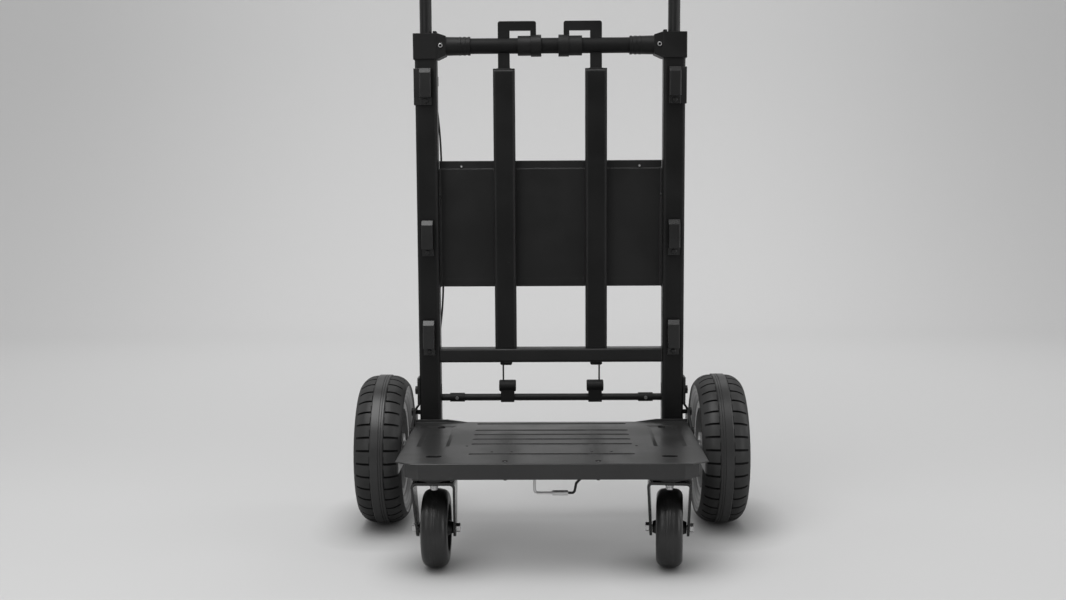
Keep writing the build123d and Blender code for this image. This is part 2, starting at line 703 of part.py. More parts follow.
def rear_axle():
    """Full-width axle with a shoulder inside each wheel."""
    end = WHEEL_X + HUB_L / 2 + END_PLAY + AXLE_NUT_T
    axle = rod((-end, AXLE_Y, AXLE_Z), (end, AXLE_Y, AXLE_Z), AXLE_D)
    inside = BRACKET_X + BRACKET_T + FIT
    outside = WHEEL_X - HUB_L / 2 - END_PLAY
    shoulder = rod((inside, AXLE_Y, AXLE_Z), (outside, AXLE_Y, AXLE_Z), AXLE_SHOULDER_D)
    return axle + shoulder + flipped(shoulder)


def axle_nuts():
    """Nuts that keep the wheels on the axle."""
    seat = WHEEL_X + HUB_L / 2 + END_PLAY
    ends = ((seat, AXLE_Y, AXLE_Z), (seat + AXLE_NUT_T, AXLE_Y, AXLE_Z))
    return pair(hex_bar(*ends, AXLE_NUT_AF) - rod(*ends, AXLE_D + 2 * FIT))


def deck_hinge_pins():
    """Pins through the side plates on which the deck folds, with their nuts."""
    seat = BRACKET_X + BRACKET_T
    nut_x = DECK_HALF - DECK_T - HINGE_NUT_GAP
    inner = nut_x - HINGE_NUT[1]
    head = rod((seat, HINGE_Y, HINGE_Z), (seat + HINGE_HEAD[1], HINGE_Y, HINGE_Z), HINGE_HEAD[0])
    pin = rod((inner, HINGE_Y, HINGE_Z), (seat, HINGE_Y, HINGE_Z), HINGE_D)
    nut = hex_bar((inner, HINGE_Y, HINGE_Z), (nut_x, HINGE_Y, HINGE_Z), HINGE_NUT[0])
    return pair(head + pin + nut)


# Control cable

def cable_points():
    """Route of the control cable behind the left rail."""
    top, bottom = CABLE_ENDS
    route = [(0.0, top), *CABLE_BOW, (0.0, bottom)]
    return [(-(CABLE_X - inward), CABLE_Y, z) for inward, z in route]


def control_cable():
    """Cable along the left rail, in straight runs and wide tangent arcs."""
    points = [Vector(*point) for point in cable_points()]
    runs = [after - before for before, after in zip(points, points[1:])]
    radii = []
    for before, after in zip(runs, runs[1:]):
        half_turn = radians(before.get_angle(after)) / 2
        radii.append(CABLE_BEND_SHARE * min(before.length, after.length) / tan(half_turn))
    print("cable bend radii", [round(radius) for radius in radii])
    path = FilletPolyline(*points, radius=radii)
    section = Plane(origin=path @ 0, z_dir=path % 0) * Circle(CABLE_D / 2)
    return sweep(section, path)


def cable_clips():
    """End fittings of the cable on the back of the left rail."""
    points = cable_points()
    clips = []
    for end in (points[0], points[-1]):
        block = span(around(end[0], CLIP[0]), (RAIL_BACK, RAIL_BACK + CLIP[1]), around(end[2], CLIP[2]))
        block = fillet(block.edges().filter_by(Axis.Z).group_by(Axis.Y)[-1], CLIP_FILLET)
        hole_ends = [(end[0], end[1], z) for z in around(end[2], CLIP[2])]
        clips.append(block - rod(*hole_ends, CABLE_D + 2 * FIT))
    return group(*clips)


# Release mechanism

def pull_handle():
    """Right finger pull: a flat hook over the top bar with a long and a short leg."""
    outer = SLAT_X + PULL_LEG / 2
    inner = PULL_SHORT_X - PULL_SHORT / 2
    depth = around(AXLE_Y, PULL_T)
    bottom = SLAT_TOP - PULL_BELOW
    leg = span(around(SLAT_X, PULL_LEG), depth, (bottom, PULL_Z))
    short = span(around(PULL_SHORT_X, PULL_SHORT), depth, (BAR_Z - PULL_SHORT_DROP, PULL_Z))
    grip = span((inner, outer), depth, (PULL_Z - PULL_H, PULL_Z))
    hook = leg + short + grip
    top_corners = hook.edges().filter_by(Axis.Y).group_by(Axis.Z)[-1]
    hook = fillet(top_corners, PULL_FILLET)
    seat = rod((WIRE_X, AXLE_Y, bottom), (WIRE_X, AXLE_Y, bottom + WIRE_SEAT), WIRE_D + 2 * FIT)
    return hook - seat


def pull_wires():
    """Straight wires from the pulls' legs to the barrels."""
    top = SLAT_TOP - PULL_BELOW + WIRE_SEAT
    return pair(rod((WIRE_X, AXLE_Y, BARREL_Z), (WIRE_X, AXLE_Y, top), WIRE_D))


def wire_barrels():
    """Wire anchors: a barrel on a clamp that grips the release bar."""
    left, right = around(BARREL_X, BARREL_L)
    barrel = rod((left, AXLE_Y, BARREL_Z), (right, AXLE_Y, BARREL_Z), BARREL_D)
    barrel = chamfer(barrel.edges().filter_by(GeomType.CIRCLE), BARREL_CHAMFER)
    bottom = REL_BAR_Z - REL_BAR_D / 2 - CLAMP_WALL
    clamp = span(around(BARREL_X, CLAMP[0]), around(AXLE_Y, CLAMP[1]), (bottom, BARREL_Z))
    bar_hole = rod((left, AXLE_Y, REL_BAR_Z), (right, AXLE_Y, REL_BAR_Z), REL_BAR_D + 2 * FIT)
    wire_hole = rod((WIRE_X, AXLE_Y, BARREL_Z), (WIRE_X, AXLE_Y, BARREL_Z + BARREL_D), WIRE_D + 2 * FIT)
    behind = (BARREL_X, AXLE_Y + CLAMP[1], REL_BAR_Z)
    screw_hole = rod((BARREL_X, AXLE_Y, REL_BAR_Z), behind, REL_SCREW_D + 2 * FIT)
    return pair(barrel + clamp - bar_hole - wire_hole - screw_hole)


def release_bar():
    """Round bar between the rails, its ends in the rails' slots."""
    end = RAIL_INNER + REL_BAR_INTO_RAIL
    return rod((-end, AXLE_Y, REL_BAR_Z), (end, AXLE_Y, REL_BAR_Z), REL_BAR_D)


def bar_sleeves():
    """Sleeves near the ends of the release bar."""
    left, right = around(SLEEVE_X, SLEEVE_L)
    ends = ((left, AXLE_Y, REL_BAR_Z), (right, AXLE_Y, REL_BAR_Z))
    tube = rod(*ends, SLEEVE_D) - rod(*ends, REL_BAR_D + 2 * FIT)
    outside = (SLEEVE_X, AXLE_Y - SLEEVE_D, REL_BAR_Z)
    hole = rod(outside, (SLEEVE_X, AXLE_Y, REL_BAR_Z), REL_SCREW_D + 2 * FIT)
    return pair(tube - hole)


def release_bar_screws():
    """Set screws of the barrels' clamps and of the sleeves."""
    screws = []
    places = [
        (BARREL_X, Vector(0, 1, 0), CLAMP[1] / 2),
        (SLEEVE_X, Vector(0, -1, 0), SLEEVE_D / 2),
    ]
    for x, way, outside in places:
        tip = Vector(x, AXLE_Y, REL_BAR_Z) + way * (REL_BAR_D / 2)
        seat = Vector(x, AXLE_Y, REL_BAR_Z) + way * outside
        crown = seat + way * REL_SCREW_HEAD[1]
        screws.append(rod(tip, seat, REL_SCREW_D) + rod(seat, crown, REL_SCREW_HEAD[0]))
    return pair(group(*screws))


# Handle

def handle_tube():
    """Bent tube that slides out of both rails."""
    path = FilletPolyline(
        (-RAIL_X, AXLE_Y, HANDLE_FOOT),
        (-RAIL_X, AXLE_Y, HANDLE_TOP),
        (RAIL_X, AXLE_Y, HANDLE_TOP),
        (RAIL_X, AXLE_Y, HANDLE_FOOT),
        radius=HANDLE_BEND_R,
    )
    ring = Circle(HANDLE_D / 2) - Circle(HANDLE_D / 2 - HANDLE_WALL)
    return sweep(Plane(origin=path @ 0, z_dir=path % 0) * ring, path)


def handle_grip():
    """Rubber sleeve on the handle's cross run."""
    left, right = around(0, GRIP_L)
    ends = ((left, AXLE_Y, HANDLE_TOP), (right, AXLE_Y, HANDLE_TOP))
    sleeve = rod(*ends, GRIP_D)
    sleeve = fillet(sleeve.edges().filter_by(GeomType.CIRCLE), GRIP_FILLET)
    return sleeve - rod(*ends, HANDLE_D + 2 * FIT)


def handle_glides():
    """Plugs under the handle tubes that slide inside the rails."""
    inner_w = RAIL_W - 2 * RAIL_WALL - 2 * SLIDE
    inner_d = RAIL_D - 2 * RAIL_WALL - 2 * SLIDE
    foot = extrude(RectangleRounded(inner_w, inner_d, RAIL_CORNER - RAIL_WALL), -GLIDE_H)
    spigot = extrude(Circle(HANDLE_D / 2 - HANDLE_WALL - FIT), GLIDE_SPIGOT)
    return pair(Pos(RAIL_X, AXLE_Y, HANDLE_FOOT) * (foot + spigot))


# Deck

def deck_outline():
    """Top view of the deck plate, with cut front corners."""
    cut_x, cut_y = DECK_CORNER
    right = [
        (DECK_HALF, DECK_BACK, DECK_UNDER),
        (DECK_HALF, DECK_FRONT + cut_y, DECK_UNDER),
        (DECK_HALF - cut_x, DECK_FRONT, DECK_UNDER),
    ]
    left = [(-x, y, z) for x, y, z in reversed(right)]
    return right + left


def deck_facet():
    """Skirt across the right front corner, set in from the plate's edge."""
    cut_x, cut_y = DECK_CORNER
    start = (DECK_HALF - cut_x - FACET_OVERHANG, DECK_FRONT)
    end = (DECK_HALF - FACET_OVERHANG - DECK_T, DECK_FRONT + cut_y)
    return prism(
        [
            (start[0], start[1], SKIRT_Z),
            (end[0], end[1], SKIRT_Z),
            (end[0], end[1] + DECK_T, SKIRT_Z),
            (start[0], start[1] + DECK_T, SKIRT_Z),
        ],
        (0, 0, DECK_SKIRT - DECK_BEND_R),
    )


def deck_lip():
    """Raised edge at the right back corner, with a ramp at its inner end."""
    inner = DECK_HALF - LIP_W
    return prism(
        [
            (inner, DECK_BACK, DECK_UNDER),
            (inner, DECK_BACK, DECK_TOP),
            (inner + LIP_RAMP, DECK_BACK, DECK_TOP + LIP_H),
            (DECK_HALF, DECK_BACK, DECK_TOP + LIP_H),
            (DECK_HALF, DECK_BACK, DECK_UNDER),
        ],
        (0, -DECK_T, 0),
    )


def pressed(outline, x, y):
    """Shallow pressing with sloped sides, sunk from the deck's top."""
    sunk = extrude(outline, -EMBOSS, taper=EMBOSS_TAPER)
    return Pos(x, y, DECK_TOP) * sunk


def deck_pressings():
    """Cross ribs and the shallow trays at both sides."""
    cuts = [pressed(SlotOverall(RIB_L, RIB_WIDTH), 0, RAIL_FRONT - back) for back in RIB_BACKS]
    width, depth = SIDE_PANEL
    rim = Rectangle(width, depth)
    floor = Pos(0, 0, -EMBOSS) * Rectangle(width - 2 * SIDE_PANEL_SLOPE, depth - 2 * SIDE_PANEL_SLOPE)
    tray = loft([rim.face(), floor.face()])
    for side in (-1, 1):
        cuts.append(Pos(side * SIDE_PANEL_X, RAIL_FRONT - SIDE_PANEL_BACK, DECK_TOP) * tray)
    return cuts


def deck_holes():
    """Access slots over the kingpins, screw holes, hinge holes and round holes."""
    low = DECK_UNDER - DECK_T
    screw_hole = countersunk(low, FIT)
    cuts = [screw_hole, flipped(screw_hole)]
    for side in (-1, 1):
        slot = extrude(SlotOverall(*ACCESS_SLOT), 3 * DECK_T)
        cuts.append(Pos(side * CASTER_X, KINGPIN_Y, low) * slot)
        pin_ends = [(side * (DECK_HALF + reach), HINGE_Y, HINGE_Z) for reach in (-2 * DECK_T, DECK_T)]
        cuts.append(rod(*pin_ends, HINGE_D + 2 * RUN))
        holes = [(x, back, DECK_HOLE_D) for x, back in DECK_HOLES]
        for x, back, size in (*holes, (SIDE_PANEL_X, BACK_HOLE_BACK, BACK_HOLE_D)):
            hole_at = (side * x, RAIL_FRONT - back)
            cuts.append(rod((*hole_at, low), (*hole_at, DECK_TOP), size))
    return cuts


def deck_plate():
    """Pressed platform: a flat sheet with skirts folded down and lips at the back corners."""
    sheet = prism(deck_outline(), (0, 0, DECK_T))
    top_edges = sheet.faces().sort_by(Axis.Z)[-1].edges().sort_by(Axis.Y)
    sheet = fillet(top_edges[:-1], DECK_BEND_R)
    front_half = DECK_HALF - DECK_CORNER[0] - FACET_OVERHANG
    height = (SKIRT_Z, DECK_TOP - DECK_BEND_R)
    front = span((-front_half, front_half), (DECK_FRONT, DECK_FRONT + DECK_T), height)
    back = span((-DECK_HALF, DECK_HALF), (DECK_BACK - DECK_T, DECK_BACK), height)
    side_y = (DECK_FRONT + DECK_CORNER[1] + SIDE_RELIEF, DECK_BACK)
    side = span((DECK_HALF - DECK_T, DECK_HALF), side_y, height)
    lip = deck_lip()
    deck = sheet + front + back
    for piece in (side, deck_facet(), lip):
        deck = deck + piece + flipped(piece)
    return deck - deck_pressings() - deck_holes()


def countersunk(low, room):
    """Right deck screw's shank and cone from a height up to the deck's top, with room around it."""
    at = (DECK_SCREW_X, DECK_FRONT + DECK_SCREW_SETBACK)
    small = DECK_SCREW_D / 2 + room
    large = DECK_SCREW_HEAD_D / 2 + room
    cone = Cone(small, large, large - small, align=(Align.CENTER, Align.CENTER, Align.MAX))
    return rod((*at, low), (*at, DECK_TOP), 2 * small) + Pos(*at, DECK_TOP) * cone


def deck_screws():
    """Countersunk screws through the deck that hold the bail's brackets, with their nuts."""
    at = (DECK_SCREW_X, DECK_FRONT + DECK_SCREW_SETBACK)
    strap_under = DECK_UNDER - BAIL_STRAP[1]
    nut = hex_bar((*at, strap_under - DECK_NUT[1]), (*at, strap_under), DECK_NUT[0])
    return pair(countersunk(DECK_TOP - DECK_SCREW_L, 0) + nut)


def bail_bracket(side, ear_x):
    """Strap under the deck with an ear that carries one end of the bail."""
    screw_x = side * DECK_SCREW_X
    width = BAIL_STRAP[0]
    far = screw_x + side * width / 2
    strap_x = sorted((ear_x, far))
    screw_y = DECK_FRONT + DECK_SCREW_SETBACK
    strap_y = (min(screw_y, BAIL_Y) - width / 2, max(screw_y, BAIL_Y) + width / 2)
    strap = span(strap_x, strap_y, (DECK_UNDER - BAIL_STRAP[1], DECK_UNDER))
    ear_span = sorted((ear_x, ear_x + side * BAIL_EAR_T))
    ear = span(ear_span, around(BAIL_Y, width), (BAIL_Z - BAIL_D, DECK_UNDER))
    pivot = rod((ear_span[0], BAIL_Y, BAIL_Z), (ear_span[1], BAIL_Y, BAIL_Z), BAIL_D + 2 * RUN)
    screw_hole = rod((screw_x, screw_y, BAIL_Z), (screw_x, screw_y, DECK_UNDER), DECK_SCREW_D + 2 * FIT)
    return strap + ear - pivot - screw_hole


def bail_brackets():
    """Straps on both sides of the bail."""
    left = bail_bracket(-1, BAIL_LEFT - BAIL_BEND_R)
    right = bail_bracket(1, BAIL_RIGHT + BAIL_BEND_R)
    return group(left, right)


def bail_wire():
    """Wire loop that hangs from its two ends under the deck."""
    low = BAIL_Z - BAIL_DROP
    points = [
        (BAIL_LEFT - BAIL_END, BAIL_Z),
        (BAIL_LEFT, BAIL_Z),
        (BAIL_LEFT, low),
        (BAIL_FOOT_RIGHT, low),
        (BAIL_FOOT_RIGHT + BAIL_LEAN, BAIL_Z - BAIL_BEND_DROPS[0]),
        (BAIL_RIGHT, BAIL_Z - BAIL_BEND_DROPS[1]),
        (BAIL_RIGHT, BAIL_Z),
        (BAIL_RIGHT + BAIL_END, BAIL_Z),
    ]
    path = FilletPolyline(*[(x, BAIL_Y, z) for x, z in points], radius=BAIL_BEND_R)
    section = Plane(origin=path @ 0, z_dir=path % 0) * Circle(BAIL_D / 2)
    return sweep(section, path)


def bail_sleeve():
    """Tube on the bail's foot."""
    low = BAIL_Z - BAIL_DROP
    right = BAIL_FOOT_RIGHT - 2 * BAIL_BEND_R
    ends = ((right - BAIL_SLEEVE[1], BAIL_Y, low), (right, BAIL_Y, low))
    return rod(*ends, BAIL_SLEEVE[0]) - rod(*ends, BAIL_D + 2 * FIT)


# Casters: the fixed upper half

def caster_spacers():
    """Blocks between the deck and the caster plates."""
    block = span(around(CASTER_X, SPACER[0]), around(KINGPIN_Y, SPACER[1]), (SPACER_Z, DECK_UNDER))
    block = fillet(block.edges().filter_by(Axis.Z), SPACER_FILLET)
    bore = rod((CASTER_X, KINGPIN_Y, SPACER_Z), (CASTER_X, KINGPIN_Y, DECK_UNDER), KINGPIN_BORE)
    return pair(block - bore)


def caster_plates():
    """Top plates of the casters."""
    width, depth, thick = CASTER_PLATE
    sheet = extrude(RectangleRounded(width, depth, CASTER_PLATE_CORNER), thick)
    plate = Pos(CASTER_X, KINGPIN_Y, CASTER_PLATE_Z) * sheet
    hole = rod((CASTER_X, KINGPIN_Y, CASTER_PLATE_Z), (CASTER_X, KINGPIN_Y, SPACER_Z), KINGPIN_D + 2 * FIT)
    return pair(plate - hole)


def caster_bearings():
    """Ball races between the plates and the forks."""
    low = (CASTER_X, KINGPIN_Y, CROWN_TOP + SLIDE)
    high = (CASTER_X, KINGPIN_Y, CASTER_PLATE_Z)
    race = rod(low, high, RACE_D)
    race = chamfer(race.edges().filter_by(GeomType.CIRCLE).sort_by(Axis.Z)[0], RACE_CHAMFER)
    return pair(race - rod(low, high, KINGPIN_BORE))


def caster_kingpins():
    """Bolts on which the forks swivel."""
    seat = CROWN_BOTTOM - SLIDE
    foot = seat - KINGPIN_NUT_T
    shaft_ends = [(CASTER_X, KINGPIN_Y, z) for z in (foot - KINGPIN_TIP, SPACER_Z + KINGPIN_NUT_T)]
    nut = hex_bar((CASTER_X, KINGPIN_Y, foot), (CASTER_X, KINGPIN_Y, seat), KINGPIN_NUT_AF)
    return pair(rod(*shaft_ends, KINGPIN_D) + nut)


# Casters: the swivelling half, drawn with the kingpin on the Z axis

def fork_half_width(z):
    """Outer half width of the fork at a height."""
    share = (CROWN_TOP - z) / (CROWN_TOP - CASTER_D / 2)
    return FORK_TOP_W / 2 + share * (FORK_AXLE_W - FORK_TOP_W) / 2


def fork_arch(inset, bend):
    """Front view of the fork's arch, set in from its outside."""
    bottom = CASTER_D / 2 - FORK_EYE_R
    top_half = fork_half_width(CROWN_TOP) - inset * FORK_T
    foot_half = fork_half_width(bottom) - inset * FORK_T
    top = CROWN_TOP - inset * CROWN_T
    right = [(top_half, top), (foot_half, bottom)]
    left = [(-x, z) for x, z in reversed(right)]
    face = make_face(Polyline(*left, *right, close=True))
    return fillet(face.vertices().sort_by(Axis.Y)[-2:], bend)


def caster_fork():
    """Strip fork: an arch with two legs that lean back to the axle."""
    axle_z = CASTER_D / 2
    back = CASTER_TRAIL + FORK_EYE_R
    half_top = FORK_STRIP_W / 2
    arch = fork_arch(0, FORK_BEND_R) - fork_arch(1, FORK_BEND_R - FORK_T)
    strip = extrude(Plane.XZ.offset(half_top) * arch, -half_top - back)
    side = prism(
        [
            (-FORK_TOP_W, -half_top, CROWN_TOP),
            (-FORK_TOP_W, half_top, CROWN_TOP),
            (-FORK_TOP_W, back, axle_z),
            (-FORK_TOP_W, CASTER_TRAIL - FORK_EYE_R, axle_z),
        ],
        (2 * FORK_TOP_W, 0, 0),
    )
    across = ((-FORK_TOP_W, CASTER_TRAIL, axle_z), (FORK_TOP_W, CASTER_TRAIL, axle_z))
    strap = strip & (side + rod(*across, 2 * FORK_EYE_R))
    kingpin_hole = rod((0, 0, CROWN_BOTTOM), (0, 0, CROWN_TOP), KINGPIN_D + 2 * RUN)
    return strap - kingpin_hole - rod(*across, CASTER_AXLE_D + 2 * FIT)


def caster_axle():
    """Axle bolt with a nut at each end."""
    z = CASTER_D / 2
    seat = fork_half_width(z + hex_corner(CASTER_NUT_AF))
    end = seat + CASTER_NUT_T
    nut = hex_bar((seat, CASTER_TRAIL, z), (end, CASTER_TRAIL, z), CASTER_NUT_AF)
    return rod((-end, CASTER_TRAIL, z), (end, CASTER_TRAIL, z), CASTER_AXLE_D) + nut + flipped(nut)


def caster_tyre():
    """Smooth tyre with a slightly domed tread and round shoulders."""
    crown = CASTER_D / 2
    bore = crown - CASTER_TYRE_T
    half = CASTER_W / 2
    tread_half = half - CASTER_SHOULDER_R
    tread_edge = crown - CASTER_DOME
    profile = Polyline((0, crown), (0, bore), (half, bore), (half, tread_edge - CASTER_SHOULDER_R))
    profile += TangentArc((half, tread_edge - CASTER_SHOULDER_R), (tread_half, tread_edge), tangent=(0, 1))
    profile += TangentArc((0, crown), (tread_half, tread_edge), tangent=(1, 0))
    return Pos(0, CASTER_TRAIL, crown) * turned(make_face(profile))


def caster_hub():
    """Wheel centre: a rim, a thick web and a long boss."""
    rim = CASTER_D / 2 - CASTER_TYRE_T - FIT
    inner = rim - CASTER_HUB_RIM
    bore = CASTER_AXLE_D / 2 + RUN
    boss = fork_half_width(CASTER_D / 2 - FORK_EYE_R) - FORK_T - END_PLAY
    half = CASTER_W / 2
    web = CASTER_HUB_WEB / 2
    points = [
        (0, bore),
        (boss, bore),
        (boss, CASTER_BOSS[1] / 2),
        (web, CASTER_BOSS[0] / 2),
        (web, inner),
        (half, inner),
        (half, rim),
        (0, rim),
    ]
    return Pos(0, CASTER_TRAIL, CASTER_D / 2) * turned(make_face(Polyline(*points, close=True)))


def at_caster(shape, side, yaw):
    """Swivelling piece at its own kingpin, turned to where it points at rest."""
    return Pos(side * CASTER_X, KINGPIN_Y, 0) * Rot(Z=yaw) * shape


# Rear wheels, drawn about the X axis

def tyre():
    """Rear tyre: a smooth middle rib, round shoulders with cross grooves, and sidewalls set in from the tread."""
    crown = TYRE_D / 2
    half = TYRE_W / 2
    rib = RIB_W / 2
    flat = TREAD_FLAT / 2
    bore = TYRE_BORE / 2 + FIT
    bead = RIM_W / 2 - FIT
    bead_top = TYRE_BORE / 2 + RIM_FLANGE
    shoulder_top = crown - RIB_STEP
    edge = crown - TREAD_EDGE_DROP
    wall = half - SIDEWALL_INSET
    wall_top = edge - TREAD_EDGE_T - SIDEWALL_INSET
    profile = Polyline((0, crown), (0, bore), (bead, bore), (bead, bead_top))
    profile += TangentArc((wall, wall_top), (bead, bead_top), tangent=(0, -1))
    profile += Polyline((wall, wall_top), (half, edge - TREAD_EDGE_T), (half, edge))
    profile += TangentArc((flat, shoulder_top), (half, edge), tangent=(1, 0))
    profile += Polyline((flat, shoulder_top), (rib + RIB_STEP, shoulder_top), (rib, crown), (0, crown))
    ring = turned(make_face(profile))
    fall = shoulder_top - edge
    round_r = ((half - flat) ** 2 + fall**2) / (2 * fall)
    reach = shoulder_top - round_r + (round_r**2 - GROOVE_L**2) ** 0.5
    start = rib + GROOVE_GAP
    cutter = prism(
        [
            (start, shoulder_top - GROOVE_DEPTH, -GROOVE_W / 2),
            (flat + GROOVE_L, reach, -GROOVE_W / 2),
            (flat + GROOVE_L, crown + GROOVE_DEPTH, -GROOVE_W / 2),
            (start, crown + GROOVE_DEPTH, -GROOVE_W / 2),
        ],
        (0, 0, GROOVE_W),
    )
    grooves = []
    for index in range(TREAD_GROOVES):
        groove = Rot(X=(index + 0.5) * 360 / TREAD_GROOVES) * cutter
        grooves += [groove, flipped(groove)]
    return ring - grooves


def wheel_rim():
    """Rim with flanges, a web with round holes and a hub bored for two bearings."""
    barrel = TYRE_BORE / 2
    inner = barrel - RIM_T
    seat = BEARING_D / 2 + FIT
    between = AXLE_SHOULDER_D / 2
    stop = HUB_L / 2 - BEARING_W
    points = [
        (0, between),
        (stop, between),
        (stop, seat),
        (HUB_L / 2, seat),
        (HUB_L / 2, HUB_D / 2),
        (WEB_T / 2, HUB_D / 2),
        (WEB_T / 2, inner),
        (RIM_W / 2 + RIM_T, inner),
        (RIM_W / 2 + RIM_T, barrel + RIM_FLANGE),
        (RIM_W / 2, barrel + RIM_FLANGE),
        (RIM_W / 2, barrel),
        (0, barrel),
    ]
    rim = turned(make_face(Polyline(*points, close=True)))
    middle = (HUB_D / 2 + inner) / 2
    holes = []
    for index in range(WEB_HOLES):
        angle = radians(90 + index * 360 / WEB_HOLES)
        spot = (middle * cos(angle), middle * sin(angle))
        holes.append(rod((-WEB_T, *spot), (WEB_T, *spot), WEB_HOLE_D))
    return rim - holes


def wheel_bearings():
    """Two ball bearings, drawn as rings."""
    outer = HUB_L / 2
    ends = ((outer - BEARING_W, 0, 0), (outer, 0, 0))
    ring = rod(*ends, BEARING_D) - rod(*ends, AXLE_D + 2 * RUN)
    return pair(ring)


def nodes():
    """Every piece at its place, by name."""
    pieces = {
        "lower_cross_tube": lower_cross_tube(),
        "slat_caps": pair(slat_cap()),
        "back_panel": back_panel(),
        "top_bar": top_bar(),
        "guide_collars": guide_collars(),
        "rail_pads": rail_pads(),
        "frame_screws": frame_screws(),
        "corner_screws": corner_screws(),
        "wire_guides": wire_guides(),
        "bracket_bolts": bracket_bolts(),
        "rear_axle": rear_axle(),
        "axle_nuts": axle_nuts(),
        "deck_hinge_pins": deck_hinge_pins(),
        "control_cable": control_cable(),
        "cable_clips": cable_clips(),
        "handle_tube": handle_tube(),
        "handle_grip": handle_grip(),
        "handle_glides": handle_glides(),
        "pull_wires": pull_wires(),
        "wire_barrels": wire_barrels(),
        "release_bar": release_bar(),
        "bar_sleeves": bar_sleeves(),
        "release_bar_screws": release_bar_screws(),
        "deck_plate": deck_plate(),
        "deck_screws": deck_screws(),
        "bail_brackets": bail_brackets(),
        "bail_wire": bail_wire(),
        "bail_sleeve": bail_sleeve(),
        "caster_spacers": caster_spacers(),
        "caster_plates": caster_plates(),
        "caster_bearings": caster_bearings(),
        "caster_kingpins": caster_kingpins(),
    }
    sided = {
        "rail": rail(),
        "slat": slat(),
        "corner_block": corner_block(),
        "axle_bracket": axle_bracket(),
        "lock_button": lock_button(),
        "button_spring": button_spring(),
        "pull_handle": pull_handle(),
        "tyre": WHEEL_AT * tyre(),
        "wheel_rim": WHEEL_AT * wheel_rim(),
        "wheel_bearings": WHEEL_AT * wheel_bearings(),
    }
    for name, shape in sided.items():
        pieces["right_" + name] = shape
        pieces["left_" + name] = flipped(shape)
    swivelling = {
        "caster_fork": caster_fork(),
        "caster_axle": caster_axle(),
        "caster_tyre": caster_tyre(),
        "caster_hub": caster_hub(),
    }
    for name, shape in swivelling.items():
        pieces["left_" + name] = at_caster(shape, -1, LEFT_CASTER_YAW)
        pieces["right_" + name] = at_caster(shape, 1, RIGHT_CASTER_YAW)
    return pieces


os.makedirs("parts", exist_ok=True)
for node, solid in nodes().items():
    export_step(solid, f"parts/{node}.step")
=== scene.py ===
import json
import math

import bmesh
import bpy
from mathutils import Matrix, Vector


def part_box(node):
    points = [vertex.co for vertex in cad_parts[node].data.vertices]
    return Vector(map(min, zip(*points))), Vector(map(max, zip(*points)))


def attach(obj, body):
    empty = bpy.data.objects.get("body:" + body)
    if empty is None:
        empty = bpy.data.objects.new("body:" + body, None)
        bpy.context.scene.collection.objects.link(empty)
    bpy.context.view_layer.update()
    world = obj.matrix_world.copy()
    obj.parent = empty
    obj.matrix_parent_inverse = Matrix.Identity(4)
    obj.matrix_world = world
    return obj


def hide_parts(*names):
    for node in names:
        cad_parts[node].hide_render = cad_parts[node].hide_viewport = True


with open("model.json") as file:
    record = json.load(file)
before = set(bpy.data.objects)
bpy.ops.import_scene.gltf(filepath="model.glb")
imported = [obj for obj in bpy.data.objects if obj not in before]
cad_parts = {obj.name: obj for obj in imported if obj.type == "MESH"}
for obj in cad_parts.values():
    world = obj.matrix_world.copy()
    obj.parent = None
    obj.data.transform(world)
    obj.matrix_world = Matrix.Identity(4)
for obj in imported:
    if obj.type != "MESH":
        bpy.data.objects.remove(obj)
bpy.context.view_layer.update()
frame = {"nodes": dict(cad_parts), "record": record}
nodes = frame["nodes"]
joints = {joint["name"]: joint for joint in frame["record"]["behaviour"]["joints"]}
bothSides = ("left", "right")
scene = bpy.context.scene
scene.view_settings.view_transform = "Standard"


# camera, as the photo was taken

photoView = {
    "place": (0.0, -2.030, 0.6246),
    "down": 5.95,  # degrees below the horizon
    "left": 0.86,
    "roll": -0.33,
    "focalPixels": 1200,
    "imageWidth": 1066,
    "sensorWidth": 36,  # millimetres
    "farthest": 50,  # metres that it sees
}


def placeCamera(view):
    data = bpy.data.cameras.new("photoCamera")
    data.sensor_width = view["sensorWidth"]
    data.lens = view["focalPixels"] / view["imageWidth"] * view["sensorWidth"]
    data.clip_end = view["farthest"]
    camera = bpy.data.objects.new("photoCamera", data)
    turn = Matrix.Rotation(math.radians(view["left"]), 4, "Z")
    turn = turn @ Matrix.Rotation(math.radians(90 - view["down"]), 4, "X")
    turn = turn @ Matrix.Rotation(math.radians(view["roll"]), 4, "Z")
    camera.matrix_world = Matrix.Translation(view["place"]) @ turn
    scene.collection.objects.link(camera)
    scene.camera = camera


placeCamera(photoView)


# small shader helpers

def startMaterial(name):
    mat = bpy.data.materials.new(name)
    mat.use_nodes = True
    return mat, mat.node_tree, mat.node_tree.nodes["Principled BSDF"]


def startGroup(name, inputs, outputs):
    tree = bpy.data.node_groups.new(name, "ShaderNodeTree")
    for way, sockets in (("INPUT", inputs), ("OUTPUT", outputs)):
        for label, kind in sockets.items():
            tree.interface.new_socket(name=label, in_out=way, socket_type="NodeSocket" + kind)
    return tree, tree.nodes.new("NodeGroupInput"), tree.nodes.new("NodeGroupOutput")


def feed(tree, socket, value):
    if isinstance(value, (int, float, tuple)):
        socket.default_value = value
    else:
        tree.links.new(value, socket)


def addGroup(tree, group, **values):
    node = tree.nodes.new("ShaderNodeGroup")
    node.node_tree = group
    for label, value in values.items():
        feed(tree, node.inputs[label], value)
    return node


def addNoise(tree, place, size, detail):
    noise = tree.nodes.new("ShaderNodeTexNoise")
    noise.inputs["Detail"].default_value = detail
    feed(tree, noise.inputs["Vector"], place)
    feed(tree, noise.inputs["Scale"], size)
    return noise.outputs["Fac"]


